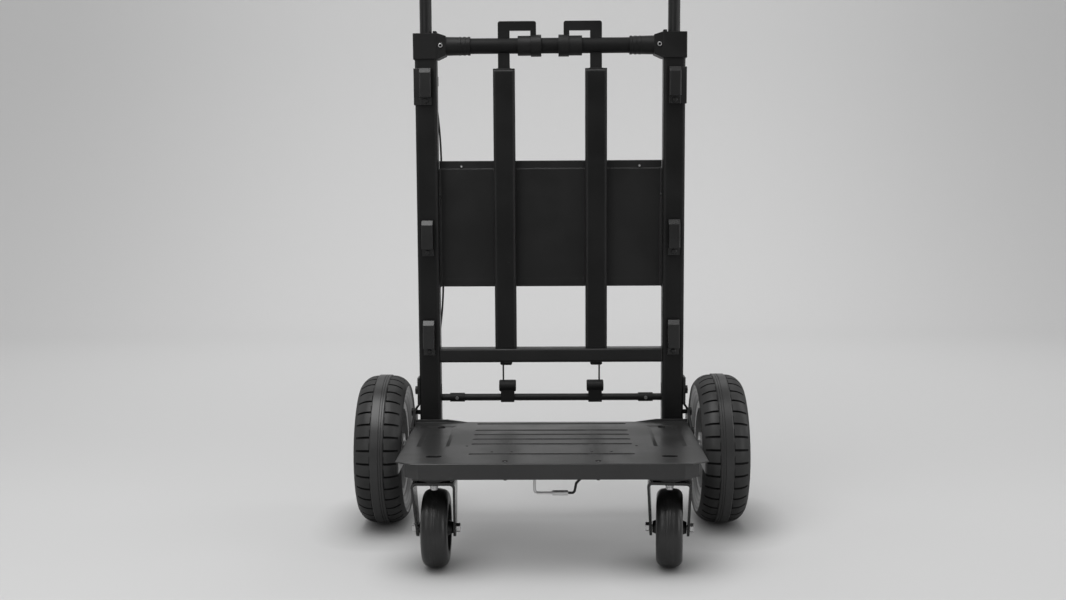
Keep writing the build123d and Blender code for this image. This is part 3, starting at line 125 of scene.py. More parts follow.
def addRange(tree, value, fromLow, fromHigh, toLow=0.0, toHigh=1.0):
    ramp = tree.nodes.new("ShaderNodeMapRange")
    ramp.interpolation_type = "SMOOTHSTEP"
    feed(tree, ramp.inputs["Value"], value)
    limits = {"From Min": fromLow, "From Max": fromHigh, "To Min": toLow, "To Max": toHigh}
    for label, limit in limits.items():
        feed(tree, ramp.inputs[label], limit)
    return ramp.outputs["Result"]


def addMath(tree, operation, first, second):
    node = tree.nodes.new("ShaderNodeMath")
    node.operation = operation
    feed(tree, node.inputs[0], first)
    feed(tree, node.inputs[1], second)
    return node.outputs["Value"]


def addMix(tree, share, first, second):
    mix = tree.nodes.new("ShaderNodeMix")
    mix.data_type = "RGBA"
    feed(tree, mix.inputs["Factor"], share)
    feed(tree, mix.inputs["A"], first)
    feed(tree, mix.inputs["B"], second)
    return mix.outputs["Result"]


def splitPlace(tree, place):
    split = tree.nodes.new("ShaderNodeSeparateXYZ")
    tree.links.new(place, split.inputs["Vector"])
    return split.outputs


def addAttribute(tree, name):
    node = tree.nodes.new("ShaderNodeAttribute")
    node.attribute_name = name
    return node.outputs["Fac"]


def grey(level):
    return (level, level, level, 1)


# small mesh helpers

def linkMesh(name, bm):
    mesh = bpy.data.meshes.new(name)
    bm.to_mesh(mesh)
    bm.free()
    piece = bpy.data.objects.new(name, mesh)
    scene.collection.objects.link(piece)
    return piece


def tangentArc(start, way, end, steps):
    # points after start on the arc that leaves it along way and reaches end
    chord = Vector(end) - Vector(start)
    heading = math.atan2(way[1], way[0])
    turn = math.atan2(chord.y, chord.x) - heading
    turn = (turn + math.pi) % (2 * math.pi) - math.pi
    points = []
    for step in range(1, steps + 1):
        angle = turn * step / steps
        reach = chord.length * math.sin(angle) / math.sin(turn)
        across = reach * math.cos(heading + angle)
        up = reach * math.sin(heading + angle)
        points.append((start[0] + across, start[1] + up))
    return points


grooveProfile = ((-0.5, 0), (-0.25, 1), (0.25, 1), (0.5, 0))  # shares of the width and of the depth


def grooveAt(place, radius, width, depth):
    return [(place - share * width, radius - sunk * depth) for share, sunk in grooveProfile]


def spinSection(points, steps, closed=True):
    # section of distances along X and from X, turned about the X axis
    bm = bmesh.new()
    verts = [bm.verts.new((x, 0, radius)) for x, radius in points]
    ends = verts[1:] + verts[:1] if closed else verts[1:]
    edges = [bm.edges.new(pair) for pair in zip(verts, ends)]
    bmesh.ops.spin(bm, geom=verts + edges, cent=(0, 0, 0), axis=(1, 0, 0), angle=2 * math.pi, steps=steps,
                   use_merge=True)
    bmesh.ops.recalc_face_normals(bm, faces=bm.faces)
    return bm


def setAlong(bm, place, way):
    # turns what runs along X to another way and puts its start in place
    turn = Vector((1, 0, 0)).rotation_difference(Vector(way)).to_matrix().to_4x4()
    bmesh.ops.transform(bm, matrix=Matrix.Translation(place) @ turn, verts=bm.verts)


def addMesh(bm, other):
    mesh = bpy.data.meshes.new("joined")
    other.to_mesh(mesh)
    other.free()
    bm.from_mesh(mesh)
    bpy.data.meshes.remove(mesh)


mergeReach = 0.000005  # metres between doubled corners


def finishPiece(bm, name, body, node, finish, degrees):
    bmesh.ops.remove_doubles(bm, verts=bm.verts, dist=mergeReach)
    bmesh.ops.recalc_face_normals(bm, faces=bm.faces)
    piece = linkMesh(name, bm)
    piece.data.shade_smooth()
    piece.data.set_sharp_from_angle(angle=math.radians(degrees))
    piece.data.materials.append(mats[finish])
    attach(piece, body)
    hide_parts(node)
    print("piece:", name, len(piece.data.polygons), "faces")


# studio: one sheet of paper that runs up the wall, and soft lamps

studio = {
    "floorGrey": 0.43,
    "wallGrey": 0.585,
    "sideShare": 0.88,  # how much of that grey is left far out to the sides, where the paper is painted darker as painted shade
    "glow": 0.41,  # share of the grey that the camera and mirrors see without any light on it
    "fade": (0.5, 3.0),  # metres back and up over which the paper turns from floor to wall
    "sides": (0.7, 2.4),
    "shadowReach": 0.10,  # reach of the painted contact shadow where the object stands
    "front": -9.0,
    "back": 2.6,
    "half": 9.0,
    "curve": 1.2,
    "height": 4.0,
    "curveSteps": 16,
    "paperRough": 0.9,
    "paperShine": 0.1,
    "worldLight": 0.28,
    "lamps": [
        # name, place, aim, size, watts
        ("overhead", (-0.7, -0.95, 3.0), (0.0, 0.0, 0.0), (2.0, 2.3), 70),
        ("backHigh", (0.0, 2.0, 2.6), (0.0, 0.1, 0.0), (3.6, 1.2), 12),
        ("leftSide", (-2.8, 0.9, 2.0), (0.0, 0.1, 0.5), (1.6, 2.4), 12),
        ("rightSide", (2.8, 0.6, 1.6), (0.0, 0.1, 0.5), (1.2, 2.4), 20),
        ("frontLeft", (-1.5, -2.8, 1.5), (0.0, 0.0, 0.3), (0.8, 0.8), 8),
        ("frontRight", (2.6, -1.6, 1.0), (0.0, 0.0, 0.4), (1.0, 1.8), 14),
    ],
}


def mixPaper(spec):
    mat, tree, shader = startMaterial("paper")
    shader.inputs["Roughness"].default_value = spec["paperRough"]
    shader.inputs["Specular IOR Level"].default_value = spec["paperShine"]
    where = splitPlace(tree, tree.nodes.new("ShaderNodeTexCoord").outputs["Object"])
    along = addMath(tree, "ADD", where["Y"], where["Z"])
    wall = addRange(tree, along, *spec["fade"])
    colour = addMix(tree, wall, grey(spec["floorGrey"]), grey(spec["wallGrey"]))
    # painted shade: the paper's colour darkens towards the sides, where the light falls off
    sideShade = addRange(tree, addMath(tree, "ABSOLUTE", where["X"], 0), *spec["sides"])
    colour = addMix(tree, addMath(tree, "MULTIPLY", sideShade, 1 - spec["sideShare"]), colour, grey(0))
    paintedShadow = tree.nodes.new("ShaderNodeAmbientOcclusion")  # painted contact shadow: darkens the paper's colour and glow under the wheels
    paintedShadow.inputs["Distance"].default_value = spec["shadowReach"]
    colour = addMix(tree, paintedShadow.outputs["AO"], grey(0), colour)
    tree.links.new(colour, shader.inputs["Base Color"])
    ray = tree.nodes.new("ShaderNodeLightPath")
    seen = addMath(tree, "MAXIMUM", ray.outputs["Is Camera Ray"], ray.outputs["Is Glossy Ray"])
    glow = addMix(tree, addMath(tree, "MULTIPLY", seen, spec["glow"]), grey(0), colour)
    tree.links.new(glow, shader.inputs["Emission Color"])
    shader.inputs["Emission Strength"].default_value = 1
    return mat


def hangPaper(spec):
    bm = bmesh.new()
    start = bm.verts.new((-spec["half"], spec["front"], 0))
    edge = bm.verts.new((-spec["half"], spec["back"], 0))
    bm.edges.new((start, edge))
    bend = bmesh.ops.spin(bm, geom=[edge], cent=(0, spec["back"], spec["curve"]), axis=(1, 0, 0),
                          angle=math.radians(90), steps=spec["curveSteps"])
    last = [item for item in bend["geom_last"] if isinstance(item, bmesh.types.BMVert)]
    top = bmesh.ops.extrude_vert_indiv(bm, verts=last)
    bmesh.ops.translate(bm, verts=top["verts"], vec=(0, 0, spec["height"]))
    side = bmesh.ops.extrude_edge_only(bm, edges=bm.edges[:])
    moved = [item for item in side["geom"] if isinstance(item, bmesh.types.BMVert)]
    bmesh.ops.translate(bm, verts=moved, vec=(2 * spec["half"], 0, 0))
    bmesh.ops.recalc_face_normals(bm, faces=bm.faces)
    paper = linkMesh("paper", bm)
    paper.data.shade_smooth()
    paper.data.materials.append(mixPaper(spec))


def hangLamps(spec):
    for name, place, aim, size, watts in spec["lamps"]:
        data = bpy.data.lights.new(name, "AREA")
        data.shape = "RECTANGLE"
        data.size, data.size_y = size
        data.energy = watts
        lamp = bpy.data.objects.new(name, data)
        lamp.location = place
        lamp.rotation_euler = (Vector(aim) - Vector(place)).to_track_quat("-Z", "Y").to_euler()
        scene.collection.objects.link(lamp)
    world = bpy.data.worlds.new("studio")
    world.use_nodes = True
    world.node_tree.nodes["Background"].inputs["Color"].default_value = grey(1)
    world.node_tree.nodes["Background"].inputs["Strength"].default_value = spec["worldLight"]
    scene.world = world


hangPaper(studio)
hangLamps(studio)
print("studio: paper and", len(studio["lamps"]), "lamps")


# effects that several finishes share

skinLook = {"detail": 3, "strength": 0.6, "cloudSize": 14, "cloudDetail": 5, "cloud": (0.3, 0.7)}


def coatGrainGroup(spec):
    # height of a sprayed or moulded skin, and a slow cloudiness
    tree, given, result = startGroup("coatGrain", {"Place": "Vector", "Size": "Float"},
                                     {"Height": "Float", "Cloud": "Float"})
    fine = addNoise(tree, given.outputs["Place"], given.outputs["Size"], spec["detail"])
    slow = addNoise(tree, given.outputs["Place"], spec["cloudSize"], spec["cloudDetail"])
    tree.links.new(fine, result.inputs["Height"])
    tree.links.new(addRange(tree, slow, *spec["cloud"]), result.inputs["Cloud"])
    return tree


rubLook = {
    "stretch": (260, 12, 260),
    "slant": 0.35,  # radians about Z
    "streakDetail": 3,
    "streak": (0.62, 0.78),
    "patchSize": 9,
    "patchDetail": 4,
    "patch": (0.5, 0.68),
    "tone": grey(0.12),
}


def rubMarksGroup(spec):
    # thin streaks and rubs, stretched along one way
    tree, given, result = startGroup("rubMarks", {"Place": "Vector", "Amount": "Float"}, {"Mask": "Float"})
    stretch = tree.nodes.new("ShaderNodeMapping")
    stretch.inputs["Scale"].default_value = spec["stretch"]
    stretch.inputs["Rotation"].default_value = (0, 0, spec["slant"])
    tree.links.new(given.outputs["Place"], stretch.inputs["Vector"])
    streaks = addNoise(tree, stretch.outputs["Vector"], 1, spec["streakDetail"])
    patches = addNoise(tree, given.outputs["Place"], spec["patchSize"], spec["patchDetail"])
    streaks = addRange(tree, streaks, *spec["streak"])
    patches = addRange(tree, patches, *spec["patch"])
    marks = addMath(tree, "MULTIPLY", streaks, patches)
    tree.links.new(addMath(tree, "MULTIPLY", marks, given.outputs["Amount"]), result.inputs["Mask"])
    return tree


dustLook = {
    "facing": (0.2, 1.0),  # upward part of the surface's direction
    "speckSize": 420,
    "speckDetail": 2,
    "speck": (0.45, 0.75),
    "driftSize": 18,
    "driftDetail": 4,
    "drift": (0.35, 0.7),
    "tone": (0.16, 0.156, 0.148, 1),
}


def fineDustGroup(spec):
    # dust that settles on what faces up
    tree, given, result = startGroup("fineDust", {"Place": "Vector", "Facing": "Vector", "Amount": "Float"},
                                     {"Mask": "Float"})
    up = addRange(tree, splitPlace(tree, given.outputs["Facing"])["Z"], *spec["facing"])
    specks = addNoise(tree, given.outputs["Place"], spec["speckSize"], spec["speckDetail"])
    drifts = addNoise(tree, given.outputs["Place"], spec["driftSize"], spec["driftDetail"])
    specks = addRange(tree, specks, *spec["speck"])
    drifts = addRange(tree, drifts, *spec["drift"])
    amount = addMath(tree, "MULTIPLY", addMath(tree, "MULTIPLY", specks, drifts), up)
    tree.links.new(addMath(tree, "MULTIPLY", amount, given.outputs["Amount"]), result.inputs["Mask"])
    return tree


edgeLook = {
    "turn": (0.998, 0.90),  # cosines between which an edge is painted lighter, as a painted highlight
    "samples": 6,
}


def edgeTurnGroup(spec):
    # how far a rounded edge has turned away from its flat face, the mask of a painted edge highlight
    tree, given, result = startGroup("edgeTurn", {"Soft": "Vector"}, {"Mask": "Float"})
    turn = tree.nodes.new("ShaderNodeVectorMath")
    turn.operation = "DOT_PRODUCT"
    tree.links.new(given.outputs["Soft"], turn.inputs[0])
    tree.links.new(tree.nodes.new("ShaderNodeNewGeometry").outputs["True Normal"], turn.inputs[1])
    tree.links.new(addRange(tree, turn.outputs["Value"], *spec["turn"]), result.inputs["Mask"])
    return tree


coatGrain = coatGrainGroup(skinLook)
rubMarks = rubMarksGroup(rubLook)
fineDust = fineDustGroup(dustLook)
edgeTurn = edgeTurnGroup(edgeLook)


def addWear(tree, where, colour, look):
    # rubs and dust over a colour
    place = where.outputs["Object"]
    rubs = addGroup(tree, rubMarks, Place=place, Amount=look["rubs"])
    dust = addGroup(tree, fineDust, Place=place, Facing=where.outputs["Normal"], Amount=look["dust"])
    colour = addMix(tree, rubs.outputs["Mask"], colour, rubLook["tone"])
    return addMix(tree, dust.outputs["Mask"], colour, dustLook["tone"])


def addSkin(tree, shader, grain, depth):
    bump = tree.nodes.new("ShaderNodeBump")
    bump.inputs["Strength"].default_value = skinLook["strength"]
    bump.inputs["Distance"].default_value = depth
    tree.links.new(grain.outputs["Height"], bump.inputs["Height"])
    tree.links.new(bump.outputs["Normal"], shader.inputs["Normal"])
    return bump


# finishes: grey levels, roughness, skin grain, edge rounding in metres, on some a painted edge highlight,
# rubs and dust

finishes = {
    "frameCoat": {"dark": 0.005, "light": 0.007, "shine": 0.23, "rough": (0.36, 0.46), "grain": 1500,
                  "depth": 0.00004, "edge": 0.0060, "edgeHighlight": 0.045, "rubs": 0.10, "dust": 0.04},
    # painted light: a paler copy of the frame's black paint for the back panel, lower cross tube and handle
    # tube
    "litFrameCoat": {"dark": 0.009, "light": 0.012, "shine": 0.28, "rough": (0.36, 0.46), "grain": 1500,
                  "depth": 0.00004, "edge": 0.0030, "edgeHighlight": 0.045, "rubs": 0.10, "dust": 0.04},
    "deckCoat": {"dark": 0.021, "light": 0.027, "shine": 0.46, "rough": (0.30, 0.38), "grain": 1300,
                 "depth": 0.00005, "edge": 0.0008, "rubs": 0.20, "dust": 0.10},
    "forkCoat": {"dark": 0.010, "light": 0.014, "shine": 0.50, "rough": (0.22, 0.30), "grain": 1500,
                 "depth": 0.00003, "edge": 0.0008, "rubs": 0.12, "dust": 0.05},
    "mouldedBlack": {"dark": 0.005, "light": 0.0075, "shine": 0.24, "rough": (0.46, 0.58), "grain": 2600,
                     "depth": 0.00005, "edge": 0.0012, "rubs": 0.08, "dust": 0.05},
    "pullBlack": {"dark": 0.006, "light": 0.009, "shine": 0.26, "rough": (0.38, 0.48), "grain": 2600,
                  "depth": 0.00003, "edge": 0.0014, "rubs": 0.08, "dust": 0.04},
    "barCoat": {"dark": 0.005, "light": 0.007, "shine": 0.18, "rough": (0.56, 0.66), "grain": 1500,
                "depth": 0.00004, "edge": 0.0008, "rubs": 0.08, "dust": 0.03},
    "padRubber": {"dark": 0.006, "light": 0.009, "shine": 0.50, "rough": (0.27, 0.33), "grain": 1900,
                  "depth": 0.00006, "edge": 0.0015, "rubs": 0.10, "dust": 0.08},
    "casterRubber": {"dark": 0.010, "light": 0.014, "shine": 0.50, "rough": (0.33, 0.41), "grain": 900,
                     "depth": 0.00003, "edge": 0.0006, "rubs": 0.15, "dust": 0.06},
    "hubNylon": {"dark": 0.012, "light": 0.016, "shine": 0.36, "rough": (0.42, 0.52), "grain": 1800,
                 "depth": 0.00004, "edge": 0.0010, "rubs": 0.08, "dust": 0.05},
    "rimCoat": {"dark": 0.26, "light": 0.32, "shine": 0.45, "rough": (0.36, 0.46), "grain": 1400,
                "depth": 0.00004, "edge": 0.0010, "rubs": 0.15, "dust": 0.06},
    "cableSkin": {"dark": 0.010, "light": 0.014, "shine": 0.36, "rough": (0.40, 0.50), "grain": 3000,
                  "depth": 0.00002, "edge": 0.0003, "rubs": 0.05, "dust": 0.04},
    "blackSteel": {"dark": 0.010, "light": 0.014, "shine": 0.42, "rough": (0.34, 0.46), "grain": 2400,
                   "depth": 0.00003, "edge": 0.0005, "rubs": 0.08, "dust": 0.04},
    # near-black that screw heads are painted with, as painted shade of their slots and sockets
    "screwShade": {"dark": 0.003, "light": 0.005, "shine": 0.08, "rough": (0.55, 0.65), "grain": 2400,
                   "depth": 0.00003, "edge": 0.0005, "rubs": 0.0, "dust": 0.0},
    "zincPlate": {"dark": 0.42, "light": 0.62, "metal": 1.0, "rough": (0.26, 0.42), "grain": 2200,
                  "depth": 0.00002, "edge": 0.0005, "rubs": 0.0, "dust": 0.0},
    # the kingpin nuts are painted far paler than plain zinc, as painted light where the deck shades them
    "litNutZinc": {"dark": 0.75, "light": 0.90, "metal": 0.3, "rough": (0.38, 0.50), "grain": 2200,
                "depth": 0.00002, "edge": 0.0005, "rubs": 0.0, "dust": 0.0},
    "dullZinc": {"dark": 0.16, "light": 0.24, "metal": 1.0, "rough": (0.40, 0.52), "grain": 2200,
                 "depth": 0.00002, "edge": 0.0005, "rubs": 0.0, "dust": 0.0},
    "turnedSteel": {"dark": 0.34, "light": 0.50, "metal": 1.0, "rough": (0.30, 0.45), "grain": 2600,
                    "depth": 0.00003, "edge": 0.0005, "rubs": 0.0, "dust": 0.0},
}
plainShine = 0.5  # where a finish names none


def mixFinish(name, look):
    mat, tree, shader = startMaterial(name)
    where = tree.nodes.new("ShaderNodeTexCoord")
    grain = addGroup(tree, coatGrain, Place=where.outputs["Object"], Size=look["grain"])
    edge = tree.nodes.new("ShaderNodeBevel")
    edge.samples = edgeLook["samples"]
    edge.inputs["Radius"].default_value = look["edge"]
    colour = addMix(tree, grain.outputs["Cloud"], grey(look["dark"]), grey(look["light"]))
    # edges of these coats are painted lighter: a painted highlight along rounded edges
    if "edgeHighlight" in look:
        rounded = addGroup(tree, edgeTurn, Soft=edge.outputs["Normal"])
        colour = addMix(tree, rounded.outputs["Mask"], colour, grey(look["edgeHighlight"]))
    shader.inputs["Metallic"].default_value = look.get("metal", 0.0)
    shader.inputs["Specular IOR Level"].default_value = look.get("shine", plainShine)
    tree.links.new(addWear(tree, where, colour, look), shader.inputs["Base Color"])
    tree.links.new(addRange(tree, grain.outputs["Cloud"], 0, 1, *look["rough"]), shader.inputs["Roughness"])
    bump = addSkin(tree, shader, grain, look["depth"])
    tree.links.new(edge.outputs["Normal"], bump.inputs["Normal"])
    return mat


mats = {name: mixFinish(name, look) for name, look in finishes.items()}

# tread, its slits, the polished rib and the sidewalls are told apart by the tyre's own attributes; the
# slits are painted darker as painted shade and the sidewalls paler as a painted sheen
tyreLook = {
    "slitShade": 0.024,
    "dark": 0.036,
    "light": 0.046,
    "rib": 0.028,
    # the sidewalls' pale grey is a painted sheen of glossy black rubber
    "wall": 0.10,
    "rough": (0.6, 0.7),
    "coat": 0.30,  # the coat shines in place of the rubber, and the slits have none
    "ribCoat": 0.85,
    "wallCoat": 1.0,
    "coatRough": 0.34,
    "grain": 1100,
    "depth": 0.00006,
    "rubs": 0.12,
    "dust": 0.05,
}


def mixTyreRubber(look):
    mat, tree, shader = startMaterial("tyreRubber")
    where = tree.nodes.new("ShaderNodeTexCoord")
    grain = addGroup(tree, coatGrain, Place=where.outputs["Object"], Size=look["grain"])
    shader.inputs["Specular IOR Level"].default_value = 0
    shader.inputs["Coat Roughness"].default_value = look["coatRough"]
    rib = addAttribute(tree, "rib")
    colour = addMix(tree, grain.outputs["Cloud"], grey(look["dark"]), grey(look["light"]))
    colour = addMix(tree, rib, colour, grey(look["rib"]))
    # painted sheen: the sidewalls are painted paler, varied in rings
    wall = addAttribute(tree, "wall")
    colour = addMix(tree, wall, colour, grey(look["wall"]))
    colour = addWear(tree, where, colour, look)
    # the slits are painted darker: painted shade in the recesses
    cavity = addAttribute(tree, "cavity")
    tree.links.new(addMix(tree, cavity, colour, grey(look["slitShade"])), shader.inputs["Base Color"])
    tree.links.new(addRange(tree, grain.outputs["Cloud"], 0, 1, *look["rough"]), shader.inputs["Roughness"])
    coat = addRange(tree, rib, 0, 1, look["coat"], look["ribCoat"])
    coat = addRange(tree, wall, 0, 1, coat, look["wallCoat"])
    tree.links.new(addRange(tree, cavity, 0, 1, coat, 0), shader.inputs["Coat Weight"])
    addSkin(tree, shader, grain, look["depth"])
    return mat


mats["tyreRubber"] = mixTyreRubber(tyreLook)


def mixTwoTone(name, first, second, findMask):
    # two of the finishes above on one piece, told apart by a mask
    mat, tree, shader = startMaterial(name)
    looks = (first, second)
    place = tree.nodes.new("ShaderNodeTexCoord").outputs["Object"]
    cloud = addGroup(tree, coatGrain, Place=place, Size=first["grain"]).outputs["Cloud"]
    mask = findMask(tree, place)
    shader.inputs["Specular IOR Level"].default_value = min(look.get("shine", plainShine) for look in looks)
    colours = [addMix(tree, cloud, grey(look["dark"]), grey(look["light"])) for look in looks]
    roughs = [addRange(tree, cloud, 0, 1, *look["rough"]) for look in looks]
    metals = [look.get("metal", 0.0) for look in looks]
    tree.links.new(addMix(tree, mask, *colours), shader.inputs["Base Color"])
    tree.links.new(addRange(tree, mask, 0, 1, *roughs), shader.inputs["Roughness"])
    tree.links.new(addRange(tree, mask, 0, 1, *metals), shader.inputs["Metallic"])
    return mat


bailTube = {"blur": 0.001}  # metres over which the finish changes
hemScrew = {
    "in": 0.0395,  # from the panel's upper corners
    "drop": 0.010,
    "bright": 0.0014,
    "blur": 0.0005,
}


def bailSleeveEnd(tree, place):
    # the wire's right leg, past the sleeve, is in a black tube
    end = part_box("bail_sleeve")[1].x
    return addRange(tree, splitPlace(tree, place)["X"], end, end + bailTube["blur"])


def hemSpots(tree, place):
    # of the frame's screws only those in the panel's hem are bright, in the middle of their heads
    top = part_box("back_panel")[1]
    spot = (top.x - hemScrew["in"], 0, top.z - hemScrew["drop"])
    fold = tree.nodes.new("ShaderNodeVectorMath")
    fold.operation = "ABSOLUTE"
    tree.links.new(place, fold.inputs[0])
    flat = tree.nodes.new("ShaderNodeVectorMath")
    flat.operation = "MULTIPLY_ADD"
    tree.links.new(fold.outputs["Vector"], flat.inputs[0])
    flat.inputs[1].default_value = (1, 0, 1)
    flat.inputs[2].default_value = [-value for value in spot]
    reach = tree.nodes.new("ShaderNodeVectorMath")
    reach.operation = "LENGTH"
    tree.links.new(flat.outputs["Vector"], reach.inputs[0])
    end = hemScrew["bright"]
    return addRange(tree, reach.outputs["Value"], end, end + hemScrew["blur"], 1.0, 0.0)


def brightFaces(tree, place):
    return addAttribute(tree, "bright")


mats["bailWire"] = mixTwoTone("bailWire", finishes["zincPlate"], finishes["cableSkin"], bailSleeveEnd)
mats["frameScrews"] = mixTwoTone("frameScrews", finishes["blackSteel"], finishes["zincPlate"], hemSpots)
# these screws' dark parts are painted near-black as painted shade, and the deck screws' bright middle is a
# painted glint
mats["shadedScrews"] = mixTwoTone("shadedScrews", finishes["screwShade"], finishes["zincPlate"], brightFaces)

slotFinish = {
    "frame_paint": "frameCoat",
    "deck_paint": "deckCoat",
    "block_plastic": "mouldedBlack",
    "pad_rubber": "padRubber",
    "zinc": "zincPlate",
    "black_steel": "blackSteel",
    "axle_steel": "turnedSteel",
    "cable_sheath": "cableSkin",
    "fork_paint": "forkCoat",
    "tyre_rubber": "tyreRubber",
    "caster_rubber": "casterRubber",
    "rim_paint": "rimCoat",
    "hub_plastic": "hubNylon",
}
nodeFinish = {
    "left_pull_handle": "pullBlack",
    "right_pull_handle": "pullBlack",
    "caster_spacers": "forkCoat",
    "bail_brackets": "forkCoat",
    "pull_wires": "blackSteel",
    "bail_wire": "bailWire",
    "frame_screws": "frameScrews",
    "top_bar": "barCoat",
    "release_bar_screws": "dullZinc",
    # these three take the paler copy of the frame paint, as painted light
    "back_panel": "litFrameCoat",
    "lower_cross_tube": "litFrameCoat",
    "handle_tube": "litFrameCoat",
}


def dressNodes():
    for part in frame["record"]["subparts"]:
        name = nodeFinish.get(part["node"], slotFinish[part["material_slot"]])
        slots = nodes[part["node"]].data.materials
        slots.clear()
        slots.append(mats[name])


dressNodes()
print("finishes:", len(mats), "on the frame's nodes")


# rear tyres: a smooth rib with fine lines, slits across both shoulders, sidewalls set in from the tread

rearTyre = {
    "slits": 36,
    "stepsPerSlit": 6,  # of the turn, and the slit takes one of them
    "dashSteps": 4,  # steps beside the rib that each slit runs on for
    "slitDepth": 0.0042,
    "dashDepth": 0.0014,
    "slitStart": 0.0125,  # from the middle plane
    "slitEnd": 0.0362,
    "slitRise": (0.25, 2),  # share of the depth at the outer end, and how fast it grows inwards
    "ribHalf": 0.0100,
    "ribStep": 0.0018,  # how far the rib stands out
    "flatHalf": 0.0140,  # where the shoulders start to fall
    "edgeDrop": 0.0180,  # from the crown to the tread's edge
    "edgeThick": 0.0020,
    "shoulderSteps": 12,
    "wallInset": 0.0025,
    "wallRings": 4,
    "ringSteps": 4,
    "ringTone": 0.4,  # share of the sidewall's painted sheen that the rings vary
    "bead": (0.0279, 0.0842),  # from the middle plane, and its radius
    "bore": 0.0752,  # radius
    "lines": (0.0030, 0.0070),  # grooves in the rib, towards the truck
    "lineWidth": 0.0010,
    "lineDepth": 0.0009,
    "crownSlack": 0.0003,  # of what counts as the top of the rib
    "smooth": 32,  # degrees up to which an edge is shaded smooth
}


def tyreSection(spec, half, crown):
    top = crown - spec["ribStep"]
    edge = crown - spec["edgeDrop"]
    wall = (half - spec["wallInset"], edge - spec["edgeThick"] - spec["wallInset"])
    side = [(spec["bead"][0], spec["bore"])]
    side += tangentArc(wall, (0, -1), spec["bead"], spec["ringSteps"] * spec["wallRings"])[::-1]
    side += [wall, (half, edge - spec["edgeThick"])]
    side += tangentArc((spec["flatHalf"], top), (1, 0), (half, edge), spec["shoulderSteps"])[::-1]
    side += [(spec["flatHalf"], top), (spec["slitStart"], top), (spec["ribHalf"] + spec["ribStep"], top),
             (spec["ribHalf"], crown)]
    rib = []
    for line in spec["lines"]:
        rib += grooveAt(-line, crown, spec["lineWidth"], spec["lineDepth"])
    return side + rib + [(-x, radius) for x, radius in reversed(side)]


def cutSlits(bm, spec, crown):
    steps = spec["slits"] * spec["stepsPerSlit"]
    dashStart = spec["ribHalf"] + spec["ribStep"]
    outer, growth = spec["slitRise"]
    sunk = []
    for face in bm.faces:
        spot = face.calc_center_median()
        step = int((math.atan2(spot.y, spot.z) / (2 * math.pi) % 1) * steps) % spec["stepsPerSlit"]
        inSlit = step == 0 and spec["slitStart"] < abs(spot.x) < spec["slitEnd"]
        inDash = step < spec["dashSteps"] and dashStart < abs(spot.x) < spec["slitStart"]
        if (inSlit or inDash) and spot.yz.length > crown - spec["edgeDrop"]:
            sunk.append(face)
    pushed = bmesh.ops.extrude_face_region(bm, geom=sunk)["geom"]
    bmesh.ops.delete(bm, geom=sunk, context="FACES")
    sunkVerts = [item for item in pushed if isinstance(item, bmesh.types.BMVert)]
    cavity = bm.faces.layers.float.new("cavity")
    for face in {face for vert in sunkVerts for face in vert.link_faces}:
        face[cavity] = 1.0
    for vert in sunkVerts:
        along = (spec["slitEnd"] - abs(vert.co.x)) / (spec["slitEnd"] - spec["slitStart"])
        depth = spec["slitDepth"] * min(1.0, outer + growth * along)
        if abs(vert.co.x) < spec["slitStart"] - spec["ribStep"] / 2:
            depth = spec["dashDepth"]
        radius = vert.co.yz.length
        vert.co.y *= 1 - depth / radius
        vert.co.z *= 1 - depth / radius


def markTyre(bm, spec, crown):
    rib = bm.verts.layers.float.new("rib")
    wall = bm.verts.layers.float.new("wall")
    ribEdge = spec["ribHalf"] + spec["ribStep"] / 2
    wallTop = crown - spec["edgeDrop"] - spec["edgeThick"]
    wallTall = wallTop - spec["wallInset"] - spec["bead"][1]
    for vert in bm.verts:
        radius = vert.co.yz.length
        ring = 0.5 + 0.5 * math.cos(2 * math.pi * spec["wallRings"] * (radius - spec["bead"][1]) / wallTall)
        onRib = abs(vert.co.x) < ribEdge and radius > crown - spec["crownSlack"]
        vert[rib] = 1.0 if onRib else 0.0
        onWall = abs(vert.co.x) > spec["bead"][0] and radius < wallTop - spec["wallInset"] / 2
        vert[wall] = 1 - spec["ringTone"] + spec["ringTone"] * ring if onWall else 0.0


def makeRearTyre(spec, side):
    low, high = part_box(side + "_tyre")
    half = (high.x - low.x) / 2
    crown = (high.z - low.z) / 2
    bm = spinSection(tyreSection(spec, half, crown), spec["slits"] * spec["stepsPerSlit"])
    cutSlits(bm, spec, crown)
    markTyre(bm, spec, crown)
    if side == "left":
        bmesh.ops.scale(bm, vec=(-1, 1, 1), verts=bm.verts)
    bmesh.ops.translate(bm, verts=bm.verts, vec=(low + high) / 2)
    finishPiece(bm, side + "RearTyre", side + "_wheel", side + "_tyre", "tyreRubber",
                spec["smooth"])


for side in bothSides:
    makeRearTyre(rearTyre, side)


# handle grip: a ribbed rubber sleeve with plain collars at its ends

handleGrip = {
    "bore": 0.0106,  # radius
    "collar": 0.014,  # plain length at each end
    "round": 0.0045,
    "roundSteps": 6,
    "ribs": 28,
    "ribShares": (0.46, 0.92),  # of the pitch, where each rib starts and ends
    "ribSteps": 4,
    "valley": 0.0013,  # depth
    "valleyShares": (0.18, 0.36),
    "steps": 72,
    "smooth": 50,
}


